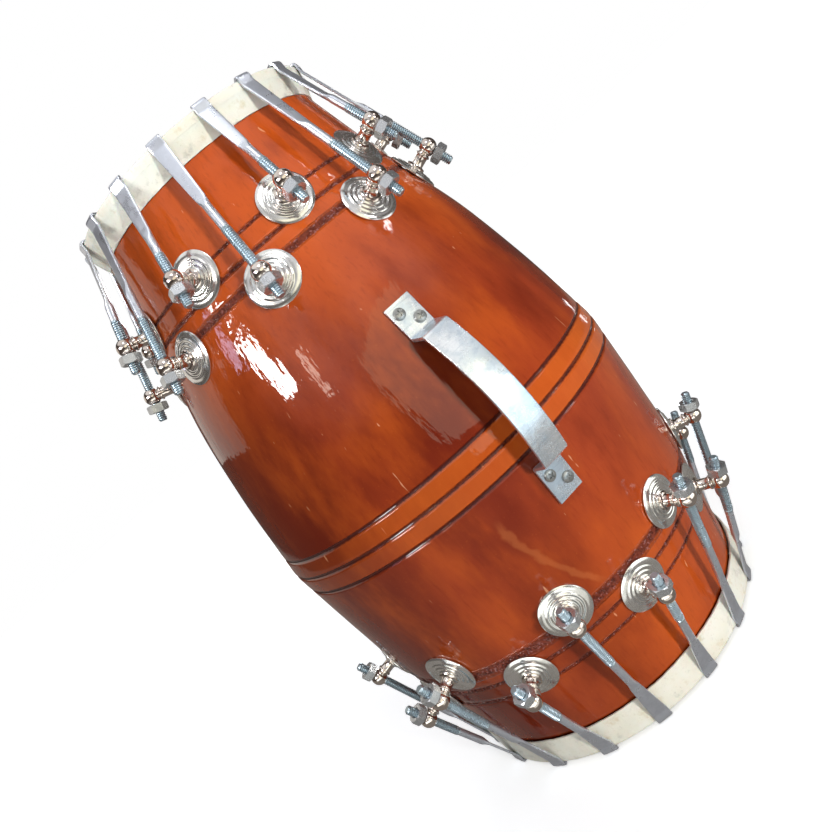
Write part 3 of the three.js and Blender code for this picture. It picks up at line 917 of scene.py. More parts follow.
def hide_profile(end):
    """Outer line from the middle of the face to the collar's cut edge, then back inside it."""
    rim_in, rim_out = end.neck + RIM_GAP, end.collar_out
    middle, half = (rim_in + rim_out) / 2, (rim_out - rim_in) / 2
    line = [(0.01, 0)] + [(rim_in * share, 0) for share in FACE_SHARES]
    line += [(rim_in - 1.6, 0.05), (rim_in - 0.8, 0.35), (rim_in, 1.0)]
    for step in range(1, ROLL_STEPS):
        angle = math.pi * step / ROLL_STEPS
        line.append((middle - half * math.cos(angle), 1.0 - ROLL_HEIGHT * math.sin(angle)))
    for share in np.linspace(0.06, 1, 14):
        line.append((rim_out + (end.collar_end - rim_out) * share, 1.0 + (end.collar_width - 1.0) * share))
    front = []
    for radius, depth in line:
        if radius > rim_out - 12 and depth > 1:
            radius += COLLAR_BULGE * math.sin(math.pi * min(1, depth / end.collar_width))
        front.append((radius, depth))
    back = [(end.collar_end - HIDE, end.collar_width - 0.1), (rim_out - HIDE, 6), (rim_in + 1, 5.2)]
    return front + back + [(end.neck + 0.3, 5.0), (end.neck + 0.3, HIDE), (0.01, HIDE)]


def hide_shape(end):
    points, faces = spun(hide_profile(end), HIDE_AROUND)
    for k, point in enumerate(points):
        radius, depth = math.hypot(point[0], point[1]), point[2]
        if radius < end.neck + RIM_GAP:
            continue
        angle = math.atan2(point[1], point[0])
        down = max(0.0, min(1.0, depth / end.collar_width))
        spot = Vector((math.cos(angle) * 9, math.sin(angle) * 9, depth * 0.08))
        pucker = 0.28 * noise.noise(spot * 2.6) + 0.12 * noise.noise(spot * 7)
        points[k, :2] *= 1 + pucker * (0.3 + 0.7 * down) / radius
        if down > 0.9:
            points[k, 2] += 0.45 * noise.noise(spot * 1.7) + 0.18 * noise.noise(spot * 6)
    return to_row_frame(points, end), faces


print("collars:", [end.collar_width for end in ENDS], "mm wide")

# %% [markdown]
# ## Rawhide
#
# Rawhide is skin that was never tanned: pale, slightly see-through, with cloudy stains and short
# fibres. A little light scattered under the surface softens it, and two reliefs, one of blotches
# and one of fibres, keep it from looking like paper.

# %% Hide finish


def rawhide():
    finish = Finish("rawhide", Subsurface_Weight=0.12, Subsurface_Scale=0.002, IOR=1.45)
    slow = finish.clouds(22, detail=4, roughness=0.6)
    blotch = finish.clouds(75, detail=4, roughness=0.65)
    fibre = finish.clouds(420, detail=4, roughness=0.7)
    colour = finish.coats(
        finish.tint(finish.between(slow, 0.35, 0.65), paint(231, 227, 209), paint(240, 238, 225)),
        (finish.between(blotch, 0.54, 0.72, 0, 0.65), paint(208, 194, 158)),
        (finish.between(blotch, 0.44, 0.26, 0, 0.65), paint(176, 174, 160)),
        (finish.between(fibre, 0.58, 0.76, 0, 0.35), paint(164, 148, 118)),
    )
    skin = finish.relief(blotch, 0.0010, 0.35)
    skin = finish.relief(fibre, 0.0003, 0.5, over=skin)
    finish.set(Base_Color=colour, Normal=skin, Roughness=finish.between(blotch, 0.3, 0.7, 0.42, 0.62))
    return finish


hide = rawhide()
for end in ENDS:
    head = piece(f"{end.name}_head_hide", hide_shape(end), hide, crease=60, weld=0.02)
    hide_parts(f"{end.name}_skin")
    print(head.name, "points:", len(head.data.vertices))

# %% [markdown]
# ## Metal finishes
#
# Several metals meet on this drum. The balls and posts are bright nickel, slightly warm. The
# washers are pressed from thin plated sheet and are satin rather than mirror-like. The rods and
# nuts are zinc plated, cool and bluish, and the screws are plain dull steel. They differ only in
# tone, gloss and dirt, so one function makes them all.

# %% Plated and plain steel


def metal(name, tone, second_tone, gloss, grime, scale=60, streak=EVEN, share=1.0):
    """A plain or plated metal: two close tones in slow patches, and a roughness that wanders."""
    finish = Finish(name, Metallic=share)
    patches = finish.clouds(scale, detail=4, roughness=0.6)
    fine = finish.clouds(scale * 14, detail=3, roughness=0.65, stretch=streak)
    dirt = [0.55 * c for c in tone[:3]] + [1.0]
    colour = finish.coats(
        finish.tint(finish.between(patches, 0.35, 0.68), tone, second_tone),
        (finish.between(fine, 0.58, 0.78, 0, grime), dirt),
    )
    slow = finish.between(patches, 0.3, 0.7, gloss * 0.8, gloss * 1.25)
    roughness = slow + finish.between(fine, 0.55, 0.8, 0, 0.08)
    finish.set(Base_Color=colour, Roughness=roughness, Normal=finish.relief(fine, 0.00002, 0.3))
    return finish


nickel = metal("nickel_plate", paint(222, 213, 206), paint(200, 188, 180), 0.10, grime=0.15)
pressed = metal(
    "pressed_washer", paint(232, 231, 229), paint(214, 213, 208), 0.17, grime=0.12, scale=90, share=0.96
)
zinc = metal(
    "zinc_thread", paint(178, 194, 203), paint(160, 176, 186), 0.30, grime=0.10, scale=120, share=0.90
)
steel = metal(
    "forged_blade", paint(204, 209, 219), paint(192, 197, 207), 0.31,
    grime=0.08, scale=110, streak=(1, 1, 0.15), share=0.88,
)
nut_zinc = metal(
    "zinc_nut", paint(206, 209, 212), paint(184, 188, 192), 0.27, grime=0.12, scale=150, share=0.92
)
screw_steel = metal(
    "screw_steel", paint(176, 176, 172), paint(146, 146, 143), 0.32, grime=0.2, scale=200, share=0.8
)
metals = (nickel, pressed, zinc, steel, nut_zinc, screw_steel)
print("metals:", [finish.material.name for finish in metals])

# %% [markdown]
# ## Where the lugs sit
#
# A lug is one tuning point: a washer on the wood, a post with a ball, a rod through the ball and a
# nut behind it. The wall slopes, so the post leans with it. All four are drawn in one flat plane,
# outward along X and into the drum along Z, and are then turned about the drum to their place.

# %% Lug places
WASHER_RADIUS = 17.5
BALL_HEIGHT = 19.0
BALL_RADIUS = 6.2
ROD_RADIUS = 3.175
HOOK_THICKNESS = 2.7
BLADE_HALF = 0.95
HOOK_DROP = 5.0
HOOK_REACH = 8.0
NUT_SEAT = 5.626
NUT_HEIGHT = 6.0


def straight_wall(end, depth):
    """Radius of the wall drawn with straight lines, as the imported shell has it."""
    depths, radii = zip(*swell_points(end))
    return float(np.interp(depth, depths, radii))


def wall_bulge(end, seat_depth, near, far):
    """How far a bend of the wall stands out under a washer that lies across it."""
    rise = (far - near) / (2 * WASHER_RADIUS)
    start = seat_depth - WASHER_RADIUS
    over = [
        radius - near - rise * (depth - start)
        for depth, radius in swell_points(end) if abs(depth - seat_depth) < WASHER_RADIUS
    ]
    return max([0.0] + over)


class Lug:
    """One tuning point, in the plane of its own rod."""

    def __init__(self, end, number):
        self.end = end
        self.number = number
        seat_depth, self.blade_length, self.thread_end = end.rows["short" if number % 2 else "long"]
        turn = FRONT + (number - 1) * 2 * math.pi / LUG_COUNT
        self.turn = -turn if end.turned_over else turn
        near = straight_wall(end, seat_depth - WASHER_RADIUS)
        far = straight_wall(end, seat_depth + WASHER_RADIUS)
        tilt = math.atan((far - near) / (2 * WASHER_RADIUS))
        bulge = wall_bulge(end, seat_depth, near, far)
        self.outward = np.array([math.cos(tilt), 0, -math.sin(tilt)])
        self.seat = np.array([(near + far) / 2 + bulge + CLEARANCE, 0, seat_depth])
        self.ball = self.seat + BALL_HEIGHT * self.outward
        self.hook = np.array([end.collar_out + CLEARANCE + HOOK_THICKNESS / 2, 0, HOOK_DROP])
        self.rod_length = float(np.linalg.norm(self.hook - self.ball))
        self.rod = (self.hook - self.ball) / self.rod_length

    def place(self, points):
        """Points of the flat plane, turned to this lug's place on the drum."""
        c, s = math.cos(self.turn), math.sin(self.turn)
        x, y, depth = points.T
        return to_row_frame(np.column_stack([c * x - s * y, s * x + c * y, depth]), self.end)

    def label(self, word):
        return f"{self.end.name}_{word}_{self.number:02d}"


lugs = [Lug(end, number) for end in ENDS for number in range(1, LUG_COUNT + 1)]
joints = {joint["name"]: joint for joint in frame["joints"]}
worst = 0.0
for lug in lugs:
    joint = joints[lug.label("nut") + "_turn"]
    middle = lug.place((lug.ball - lug.rod * (NUT_SEAT + NUT_HEIGHT / 2))[None])[0]
    worst = max(worst, float(np.linalg.norm(middle - np.array(joint["pos_m"]) / MM)))
print("lugs:", len(lugs), "farthest nut from its joint:", round(worst, 2), "mm")

# %% [markdown]
# ## Washers and ball posts
#
# The washer is a pressed rosette: a low cone with three rings stamped into it and a flange that
# curls down at the rim. Its height over the seat is one short formula. The post stands in its
# middle: a foot ring, a plain stem, a bead, and a ball with a hole where the rod goes through.
# Both are spun from a profile that closes on itself, so they are solid without a boolean.

# %% Washers
CONE_RISE = 2.4
RIM_RISE = 0.5
SHEET_TOP = 0.7
WASHER_SHEET = 0.9
WASHER_EDGE = 0.5
BORE_SHARE = 0.2
FLANGE_SHARE = 0.80
CURL_SHARE = 0.86
CURL_DROP = 0.5
RING_SHARE = 0.17
RING_HEIGHT = 0.52
UNDER_SHARES = (0.98, 0.8, 0.6, 0.4, BORE_SHARE)


def washer_height(share):
    """Height of the sheet at a share of its radius: cone, stamped rings and curled flange."""
    ring = 0.0
    if share < FLANGE_SHARE:
        ring = RING_HEIGHT * math.sin(math.pi * (FLANGE_SHARE - share) / RING_SHARE) ** 2
    curl = CURL_DROP * max(0.0, (share - CURL_SHARE) / (1 - CURL_SHARE)) ** 2
    return CONE_RISE * (1 - share) + RIM_RISE + ring - curl


def washer_shape(lug):
    reach, edge = WASHER_RADIUS - WASHER_EDGE, washer_height(1)
    top = [(reach * share, washer_height(share) + SHEET_TOP) for share in np.linspace(BORE_SHARE, 1, 41)]
    rim = [(reach + 0.42, edge + 0.45), (reach + WASHER_EDGE, edge), (reach + 0.3, edge - 0.42)]
    under = [(reach * share, washer_height(share) + SHEET_TOP - WASHER_SHEET) for share in UNDER_SHARES]
    points, faces = spun(top + rim + under, 56, loop=True)
    return lug.place(stand_on(points, lug.seat, lug.outward)), faces


for lug in lugs:
    washer = piece(lug.label("washer"), washer_shape(lug), pressed, crease=40)
    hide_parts(f"{lug.end.name}_tension_frame")
print("washer points:", len(washer.data.vertices))

# %% Ball posts
HOLE_RADIUS = 3.4
TUNNEL_RADIUS = 3.2

# Radius and height over the seat, from the post's foot up into the ball
POST_PROFILE = [
    (3.4, 2.6), (6.4, 3.2), (6.5, 4.0), (5.9, 4.7), (4.6, 5.0), (4.15, 5.6), (4.05, 11.2), (4.2, 11.7),
    (4.85, 12.1), (5.0, 12.7), (4.8, 13.3), (4.1, 13.7), (3.9, 14.6), (3.4, 15.2),
]


def ball_shape(lug):
    hole = math.asin(HOLE_RADIUS / BALL_RADIUS)
    angles = np.linspace(hole, math.pi - hole, 25)
    line = [(BALL_RADIUS * math.sin(angle), BALL_RADIUS * math.cos(angle)) for angle in angles]
    tunnel = [(TUNNEL_RADIUS, line[-1][1] + 0.3), (TUNNEL_RADIUS, line[0][1] - 0.3)]
    points, faces = spun(line + tunnel, 40, loop=True)
    return stand_on(points, lug.ball, lug.rod), faces


def post_shape(lug):
    points, faces = spun(POST_PROFILE, 40, loop=True)
    points, faces = joined((stand_on(points, lug.seat, lug.outward), faces), ball_shape(lug))
    return lug.place(points), faces


for lug in lugs:
    post = piece(lug.label("ball_post"), post_shape(lug), nickel, crease=40)
    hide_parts(f"{lug.end.name}_tension_frame")
print("post points:", len(post.data.vertices))

# %% [markdown]
# ## Hook rods
#
# A rod starts as round bar. One end is threaded, the rest is forged flat: it widens towards the
# head and folds over the rim. The thread is real geometry, three lines of points for each turn (one
# in the root and one at each side of the crest) that wind round the bar together. The flat part is
# a loft along a path with a tight fold at the rim.

# %% Thread
PITCH = 1.45
THREAD_ROOT = 2.45
THREAD_SIDES = 16
CREST_RADIUS = ROD_RADIUS - 0.04
NECK_RADIUS = 2.75
STUB_RADIUS = 2.3
STUB_OUT = 7
STUB = NUT_SEAT + NUT_HEIGHT + STUB_OUT

# Each line has its place as a share of one turn, and its radius
THREAD_LINES = ((0.0, THREAD_ROOT), (0.26, CREST_RADIUS), (0.68, CREST_RADIUS))


def thread_ring(along_start, crest, start, end):
    """One turn of a thread line. It fades into the neck and into the stub's chamfer."""
    ring = []
    for k in range(THREAD_SIDES + 1):
        along = along_start + k / THREAD_SIDES * PITCH
        limit = STUB_RADIUS + max(0.0, along - start) * 0.9
        fade = min(1.0, max(0.0, (end - along) / (1.5 * PITCH)))
        radius = min(NECK_RADIUS + (crest - NECK_RADIUS) * fade, limit)
        angle = 2 * math.pi * k / THREAD_SIDES
        ring.append((radius * math.cos(angle), radius * math.sin(angle), min(max(along, start), end)))
    return ring


def thread_shape(lug):
    """The threaded bar along +Z, from behind the nut (negative) to the thread's end."""
    start, end = -STUB, lug.thread_end
    turns = range(-1, int((end - start) / PITCH) + 2)
    rings = [
        thread_ring(start + (turn + share) * PITCH, crest, start, end)
        for turn in turns for share, crest in THREAD_LINES
    ]
    points = np.array(rings).reshape(-1, 3)
    wide = THREAD_SIDES + 1
    faces = [
        (row * wide + k, row * wide + k + 1, (row + 1) * wide + k + 1, (row + 1) * wide + k)
        for row in range(len(rings) - 1) for k in range(THREAD_SIDES)
    ]
    angles = np.arange(THREAD_SIDES) * 2 * math.pi / THREAD_SIDES
    for radius, height in ((STUB_RADIUS, start), (NECK_RADIUS, end)):
        cap = [radius * np.cos(angles), radius * np.sin(angles), np.full(THREAD_SIDES, height)]
        faces.append(tuple(range(len(points), len(points) + THREAD_SIDES)))
        points = np.concatenate([points, np.column_stack(cap)])
    return lug.place(stand_on(points, lug.ball, lug.rod)), faces


for lug in lugs:
    thread = piece(lug.label("rod_thread"), thread_shape(lug), zinc, crease=38, weld=0.01)
    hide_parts(f"{lug.end.name}_tension_frame")
print("thread points:", len(thread.data.vertices))

# %% Blade
THREAD_LAP = 0.6
BEND_BEFORE = 9
FOLD_RADII = (7, 1.9)
BLADE_SIDES = 16
SHOULDER_HALF = 0.55


def smooth(share):
    share = min(1.0, max(0.0, share))
    return share * share * (3 - 2 * share)


def squarish(count, sharpness):
    """Unit section between a circle (1) and a rounded rectangle (small)."""
    angles = np.arange(count) * 2 * math.pi / count + math.pi / count
    c, s = np.cos(angles), np.sin(angles)
    return np.sign(c) * np.abs(c) ** sharpness, np.sign(s) * np.abs(s) ** sharpness


def blade_path(lug):
    """Middle line of neck, blade and hook in the lug's plane, as (radius, depth) points."""
    ball = lug.ball[[0, 2]]
    hook = lug.hook[[0, 2]] - [HOOK_THICKNESS / 2 - BLADE_HALF, 0]
    way = (hook - ball) / lug.rod_length
    lip = -CLEARANCE - BLADE_HALF
    corner, tip = np.array([hook[0], lip]), np.array([hook[0] - HOOK_REACH, lip])
    bend_start = lug.rod_length - BEND_BEFORE
    straight = [ball + way * along for along in np.linspace(lug.thread_end - THREAD_LAP, bend_start, 26)]
    bend = filleted([ball + way * bend_start, hook, corner, tip], FOLD_RADII, 8)[1:]
    return np.concatenate([straight, bend])


def blade_shape(lug):
    path = blade_path(lug)
    steps = np.linalg.norm(np.diff(path, axis=0), axis=1)
    lengths = np.concatenate([[0], np.cumsum(steps)]) + lug.thread_end - THREAD_LAP
    tangents = np.gradient(path, axis=0)
    tangents /= np.linalg.norm(tangents, axis=1)[:, None]
    flat = lug.rod_length - lug.blade_length
    widening = lug.end.blade_width / 2 - NECK_RADIUS - SHOULDER_HALF
    rings = []
    for spot, along, tangent in zip(path, lengths, tangents):
        press = smooth((along - flat + 3) / 7)
        flare = min(1.0, max(0.0, (along - flat) / lug.blade_length))
        left = lengths[-1] - along
        rounding = math.sqrt(max(0.12, 1 - max(0.0, 1 - left / 2.2) ** 2))
        half_wide = (NECK_RADIUS + press * (SHOULDER_HALF + widening * flare)) * rounding
        half_thick = NECK_RADIUS + press * (BLADE_HALF - NECK_RADIUS)
        across, through = squarish(BLADE_SIDES, 1 - 0.68 * press)
        lift = half_thick * through
        ring = [spot[0] - tangent[1] * lift, half_wide * across, spot[1] + tangent[0] * lift]
        rings.append(np.column_stack(ring))
    points, faces = skin_over(rings)
    return lug.place(points), faces


for lug in lugs:
    blade = piece(lug.label("rod_blade"), blade_shape(lug), steel, crease=38)
    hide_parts(f"{lug.end.name}_tension_frame")
print("blade points:", len(blade.data.vertices))

# %% [markdown]
# ## Tuning nuts
#
# A hexagon nut is a prism whose corners are cut by a cone at both faces. Sampling the outline by
# angle gives the flats, and lowering each point by how far it lies outside the inner circle gives
# the curved chamfers for free. The nut rides on its own body, so it turns when it is posed.

# %% Nuts
NUT_FLATS = 12.7
NUT_BORE = 3.3
NUT_COUNTERSINK = 0.55
NUT_SIDES = 60
NUT_STEP = 23
CHAMFER = math.radians(32)


def nut_shape(lug):
    angles = np.arange(NUT_SIDES) * 2 * math.pi / NUT_SIDES
    inner = NUT_FLATS / 2
    outline = inner / np.cos((angles + math.pi / 6) % (math.pi / 3) - math.pi / 6)
    drop = (outline - inner) * math.tan(CHAMFER)
    mouth = NUT_BORE + NUT_COUNTERSINK
    levels = [
        (NUT_BORE, NUT_COUNTERSINK), (mouth, 0), (inner - 0.1, 0), (outline, drop),
        (outline, NUT_HEIGHT - drop), (inner - 0.1, NUT_HEIGHT), (mouth, NUT_HEIGHT),
        (NUT_BORE, NUT_HEIGHT - NUT_COUNTERSINK),
    ]
    rings = [
        np.column_stack([reach * np.cos(angles), reach * np.sin(angles), np.broadcast_to(height, NUT_SIDES)])
        for reach, height in levels
    ]
    points, faces = skin_over(rings, closed_loop=True)
    spin = np.array(Matrix.Rotation(math.radians(NUT_STEP * lug.number), 3, "Z"))
    return lug.place(stand_on(points @ spin.T, lug.ball - NUT_SEAT * lug.rod, -lug.rod)), faces


for lug in lugs:
    shape = nut_shape(lug)
    nut = piece(lug.label("tuning_nut"), shape, nut_zinc, body=lug.label("nut"), crease=14)
    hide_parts(lug.label("nut"))
print("nut points:", len(nut.data.vertices))

# %% [markdown]
# ## Hoops and tuning paste
#
# Two pieces that nobody sees until a head comes off: the steel hoop in the fold of each hide, and
# the cake of tuning paste stuck under the bass head. They are modelled because they are there.

# %% Hoops
HOOP_WIRE = 1.9
HOOP_DEPTH = 3.3


def hoop_shape(end):
    middle = end.neck + 2 * CLEARANCE + HIDE + HOOP_SECTION / 2
    angles = np.arange(12) * math.pi / 6
    line = [(middle + HOOP_WIRE * math.cos(a), HOOP_DEPTH + HOOP_WIRE * math.sin(a)) for a in angles]
    points, faces = spun(line, 120, loop=True)
    return to_row_frame(points, end), faces


for end in ENDS:
    hoop = piece(f"{end.name}_hoop", hoop_shape(end), steel, crease=60)
    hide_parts(f"{end.name}_tension_frame")
    print(hoop.name, "points:", len(hoop.data.vertices))

# %% Tuning paste


def paste_finish():
    finish = Finish("tuning_paste")
    lumps = finish.clouds(120, detail=5, roughness=0.7)
    colour = finish.tint(finish.between(lumps, 0.3, 0.7), paint(26, 20, 16), paint(58, 47, 40))
    roughness = finish.between(lumps, 0.3, 0.7, 0.6, 0.9)
    finish.set(Base_Color=colour, Roughness=roughness, Normal=finish.relief(lumps, 0.002, 0.8))
    return finish


paste_node = frame["nodes"]["bass_tuning_paste"]
paste_node.data.materials.clear()
paste_node.data.materials.append(paste_finish().material)
paste_low, paste_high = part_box("bass_tuning_paste")
print("paste:", [round(1000 * side, 1) for side in paste_high - paste_low], "mm")

# %% [markdown]
# ## Handle
#
# The handle is one strip of aluminium, bent to a low arch and screwed down at both ends. A strip
# is a sweep: one rounded rectangle carried along a line in the plane of the drum's axis. Bends
# have a radius of about the sheet's thickness, and the edges are broken, not knife-sharp.

# %% Handle line
HANDLE_WIDTH = 19.0
HANDLE_SHEET = 2.4
HANDLE_LENGTH = 150.5
HANDLE_OFF_MIDDLE = -1.25
FOOT_PLATE = 28.0
HEAD_PLATE = 23.5
LEG_LEAN = 2.0
LEG_HEIGHT = 17.4
ARCH_RISE = 10.8
ARCH_STEPS = 15
PLATE_BEND = 2.6
ARCH_BEND = 3.2
ARCH_SOFTNESS = 1.0


def wall_at(height):
    end = BASS if height < BELLY_HEIGHT else TREBLE
    return straight_wall(end, end.height(height))


def plate_line(low, high):
    """Straight line just off the wood between two heights: slope, and radius at a height."""
    low_wall, high_wall = wall_at(low), wall_at(high)
    rise = (high_wall - low_wall) / (high - low)
    lift = CLEARANCE / math.cos(math.atan(rise))
    return rise, lambda height: low_wall + rise * (height - low) + lift


handle_middle = (BASS.rows["long"][0] + DRUM_LENGTH - TREBLE.rows["long"][0]) / 2 + HANDLE_OFF_MIDDLE
foot_end, head_end = handle_middle - HANDLE_LENGTH / 2, handle_middle + HANDLE_LENGTH / 2
foot_rise, foot_line = plate_line(foot_end, foot_end + FOOT_PLATE)
head_rise, head_line = plate_line(head_end - HEAD_PLATE, head_end)


def handle_line():
    """Under side of the strip as (height, radius) corners, and the radius of each bend."""
    foot_bend = np.array([foot_end + FOOT_PLATE, foot_line(foot_end + FOOT_PLATE)])
    head_bend = np.array([head_end - HEAD_PLATE, head_line(head_end - HEAD_PLATE)])
    foot_top = foot_bend + [LEG_LEAN, LEG_HEIGHT]
    head_top = head_bend + [-LEG_LEAN, LEG_HEIGHT]
    chord = head_top - foot_top
    up = np.array([-chord[1], chord[0]]) / np.linalg.norm(chord)
    crown = (foot_top + head_top) / 2 + up * 2 * ARCH_RISE
    shares = np.linspace(0, 1, ARCH_STEPS)[1:-1]
    arch = [(1 - t) ** 2 * foot_top + 2 * t * (1 - t) * crown + t * t * head_top for t in shares]
    foot_tip = np.array([foot_end, foot_line(foot_end)])
    head_tip = np.array([head_end, head_line(head_end)])
    radii = [PLATE_BEND, ARCH_BEND] + [ARCH_SOFTNESS] * len(arch) + [ARCH_BEND, PLATE_BEND]
    return [foot_tip, foot_bend, foot_top, *arch, head_top, head_bend, head_tip], radii


print("handle from", round(foot_end, 1), "to", round(head_end, 1), "mm up the drum")

# %% Handle shape
BROKEN_EDGE = 0.5
LEAST_STEP = 0.02


def offset_line(corners, distance):
    moved = []
    for k, corner in enumerate(corners):
        before = corner - corners[k - 1] if k else corners[1] - corner
        after = corners[k + 1] - corner if k + 1 < len(corners) else before
        sides = [np.array([-way[1], way[0]]) / np.linalg.norm(way) for way in (before, after)]
        way = (sides[0] + sides[1]) / np.linalg.norm(sides[0] + sides[1])
        moved.append(corner + way * distance / float(way @ sides[1]))
    return moved


def strip_section():
    """The strip cut across: a rectangle whose edges are broken in three small steps."""
    flat_wide, flat_thick = HANDLE_WIDTH / 2 - BROKEN_EDGE, HANDLE_SHEET / 2 - BROKEN_EDGE
    section = []
    for u, v in ((1, 1), (-1, 1), (-1, -1), (1, -1)):
        for step in (0, 30, 60, 90):
            angle = math.radians(step if u * v > 0 else 90 - step)
            wide = flat_wide + BROKEN_EDGE * math.cos(angle)
            thick = flat_thick + BROKEN_EDGE * math.sin(angle)
            section.append((u * wide, v * thick))
    return section


def handle_shape():
    corners, radii = handle_line()
    path = filleted(offset_line(corners, HANDLE_SHEET / 2), radii, 6)
    keep = [0] + [k for k in range(1, len(path)) if np.linalg.norm(path[k] - path[k - 1]) > LEAST_STEP]
    path = path[keep]
    tangents = np.gradient(path, axis=0)
    tangents /= np.linalg.norm(tangents, axis=1)[:, None]
    section = strip_section()
    rings = []
    for (height, radius), (along, out) in zip(path, tangents):
        rings.append([(across, -(radius + along * lift), height - out * lift) for across, lift in section])
    return skin_over(rings)


print("points in the strip's section:", len(strip_section()))

# %% [markdown]
# ## Brushed aluminium
#
# Bare aluminium is dull and pale. Years of hands leave scratches along and across the strip, which
# are noise stretched twenty times in one direction, and pale scuffs where it was knocked.

# %% Handle finish


def brushed_aluminium():
    finish = Finish("brushed_aluminium", Metallic=0.85)
    across = finish.clouds(620, detail=3, roughness=0.6, stretch=(0.05, 1, 1))
    along = finish.clouds(900, detail=3, roughness=0.6, stretch=(1, 0.05, 0.05))
    scuffs = finish.clouds(170, detail=5, roughness=0.75, stretch=(0.6, 1, 0.6))
    stains = finish.clouds(45, detail=3, roughness=0.6)
    colour = finish.coats(
        finish.tint(finish.between(stains, 0.38, 0.62), paint(242, 245, 246), paint(212, 222, 230)),
        (finish.between(across, 0.55, 0.68, 0, 0.30), paint(160, 176, 192)),
        (finish.between(scuffs, 0.56, 0.72, 0, 0.30), paint(140, 158, 178)),
        (finish.between(scuffs, 0.40, 0.32, 0, 0.60), paint(250, 252, 253)),
    )
    roughness = finish.between(stains, 0.3, 0.7, 0.20, 0.30) + finish.between(scuffs, 0.5, 0.68, 0, 0.16)
    skin = finish.relief(along, 0.00003, 0.4)
    skin = finish.relief(across, 0.00004, 0.4, over=skin)
    finish.set(Base_Color=colour, Roughness=roughness, Normal=skin)
    return finish


handle = piece("strap_handle", handle_shape(), brushed_aluminium(), crease=35)
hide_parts("handle")
print("handle points:", len(handle.data.vertices))

# %% [markdown]
# ## Screws
#
# Two pan-head screws hold each plate. The head is a low dome with a cross-shaped recess. The
# recess is cut by lowering the points of a fine disc wherever they fall inside the cross, which
# avoids a boolean and keeps the mesh closed.

# %% Screws
SCREW_HEAD = 3.8
SCREW_RIM = 0.9
SCREW_RISE = 2.1
DOME_DROP = 0.9
SCREW_ACROSS = 4.1
SCREW_ALONG = 4.3
SCREW_AROUND = 72
SHANK_RADIUS = 1.85
SHANK_LENGTH = 12.0
CROSS_HALF = 0.42
CROSS_REACH = 2.1
CROSS_DEPTH = 0.8
FOOT_SCREWS = 13.7
HEAD_SCREWS = 11.2
DOME_RADII = (3.6, 3.3, 2.9, 2.5, 2.2, 2.0, 1.7, 1.4, 1.1, 0.85, 0.6, 0.45, 0.3, 0.01)


def screw_height(x, y):
    dome = SCREW_RISE - DOME_DROP * ((x * x + y * y) / SCREW_HEAD ** 2) ** 1.5
    narrow, wide = min(abs(x), abs(y)), max(abs(x), abs(y))
    return dome - (CROSS_DEPTH if narrow < CROSS_HALF and wide < CROSS_REACH else 0.0)


def screw_shape(place, outward, turn):
    angles = np.arange(SCREW_AROUND) * 2 * math.pi / SCREW_AROUND
    c, s = np.cos(angles), np.sin(angles)
    sides = ((SHANK_RADIUS, -SHANK_LENGTH), (SHANK_RADIUS, 0.0), (SCREW_HEAD, 0.0), (SCREW_HEAD, SCREW_RIM))
    level = np.ones(SCREW_AROUND)
    rings = [np.column_stack([radius * c, radius * s, height * level]) for radius, height in sides]
    for radius in DOME_RADII:
        heights = [screw_height(radius * math.cos(a - turn), radius * math.sin(a - turn)) for a in angles]
        rings.append(np.column_stack([radius * c, radius * s, heights]))
    points, faces = skin_over(rings)
    return stand_on(points, place, outward), faces


def screw_places():
    """Place and outward direction of each screw, two on each plate of the handle."""
    lift = HANDLE_SHEET + CLEARANCE * 0.3
    plates = ((foot_end + FOOT_SCREWS, foot_rise, foot_line), (head_end - HEAD_SCREWS, head_rise, head_line))
    for centre, rise, line in plates:
        tilt = math.atan(rise)
        for side in (-1, 1):
            height = centre - side * SCREW_ALONG
            radius = line(height) + lift * math.cos(tilt)
            place = np.array([side * SCREW_ACROSS, -radius, height - lift * math.sin(tilt)])
            yield place, (0, -math.cos(tilt), -math.sin(tilt))


for number, (place, outward) in enumerate(screw_places(), start=1):
    shape = screw_shape(place, outward, 0.5 * number)
    screw = piece(f"pan_head_screw_{number}", shape, screw_steel, crease=30)
    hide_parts(f"handle_screw_{number}")
print("screw points:", len(screw.data.vertices))

# %% [markdown]
# ## Glints for the metal
#
# Plated metal needs something bright to reflect, and lacquer would show the same lamps as pale
# blots. Light linking solves it: each of these small lamps shines on one collection of pieces. The
# boards stand for light thrown back by the pale floor, and one lamp is for the treble head alone.

# %% Lamps linked to the metal


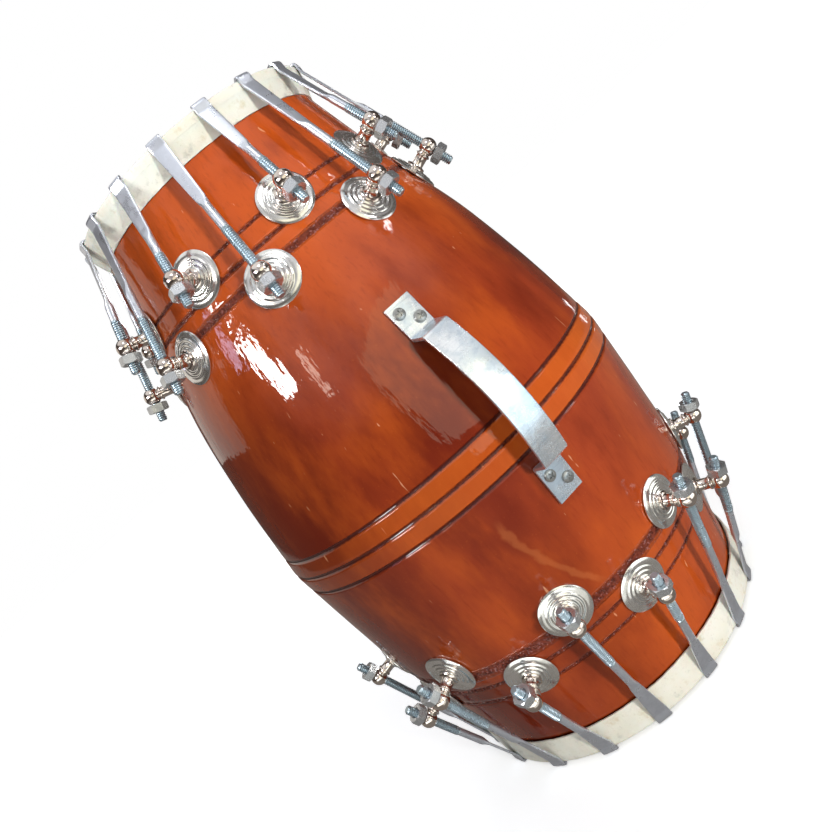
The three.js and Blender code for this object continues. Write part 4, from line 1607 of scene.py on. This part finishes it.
def pieces_named(name, words):
    """A collection of the pieces whose names hold one of the words, for a lamp to shine on."""
    chosen = bpy.data.collections.new(name)
    for thing in list(scene.objects):
        if thing.type == "MESH" and any(word in thing.name for word in words):
            chosen.objects.link(thing)
    return chosen


tuning_metal = pieces_named("tuning_metal", ("washer", "ball_post", "rod_", "tuning_nut"))
handle_metal = pieces_named("handle_metal", ("strap_handle", "pan_head"))
treble_hide = pieces_named("treble_hide", ("treble_head_hide",))
FLOOR_TONE = (0.97, 1.0, 0.95)

# Each glint has a place in metres, a size, its watts, the pieces that it lights, and its tone
GLINTS = {
    "collar_light": ((-1.25, -0.45, 1.00), 0.50, 8.0, treble_hide, WHITE),
    "glint_right": ((0.95, -1.35, 0.60), 0.28, 4.0, tuning_metal, WHITE),
    "glint_left": ((-1.10, -0.60, 0.95), 0.30, 2.0, tuning_metal, WHITE),
    "glint_high": ((0.10, -0.90, 1.50), 0.40, 4.0, tuning_metal, WHITE),
    "glint_behind": ((0.60, 1.20, 0.70), 0.40, 5.0, tuning_metal, WHITE),
    "glint_low": ((0.45, -1.10, 0.10), 0.20, 1.2, tuning_metal, WHITE),
    "board_near": ((-0.06, -0.22, 0.002), 0.22, 0.11, tuning_metal, FLOOR_TONE),
    "board_left": ((-0.42, -0.30, 0.02), 0.34, 0.66, tuning_metal, FLOOR_TONE),
    "board_front": ((-0.16, -0.36, 0.02), 0.30, 0.52, tuning_metal, FLOOR_TONE),
    "board_right": ((0.26, -0.34, 0.02), 0.40, 0.80, tuning_metal, FLOOR_TONE),
    "board_far_right": ((0.75, -0.55, 0.03), 0.40, 0.5, tuning_metal, WHITE),
    "handle_glint": ((0.42, -1.15, 0.14), 0.30, 1.7, handle_metal, WHITE),
    "handle_high": ((0.20, -1.00, 1.10), 0.60, 0.2, handle_metal, (1.0, 0.97, 0.88)),
    "handle_floor": ((0.10, -0.55, 0.01), 0.60, 1.50, handle_metal, (0.62, 0.84, 1.0)),
}

for name, (place, size, watts, lit_pieces, tone) in GLINTS.items():
    lamp = softbox(name, place, size, size, watts, tone)
    lamp.light_linking.receiver_collection = lit_pieces
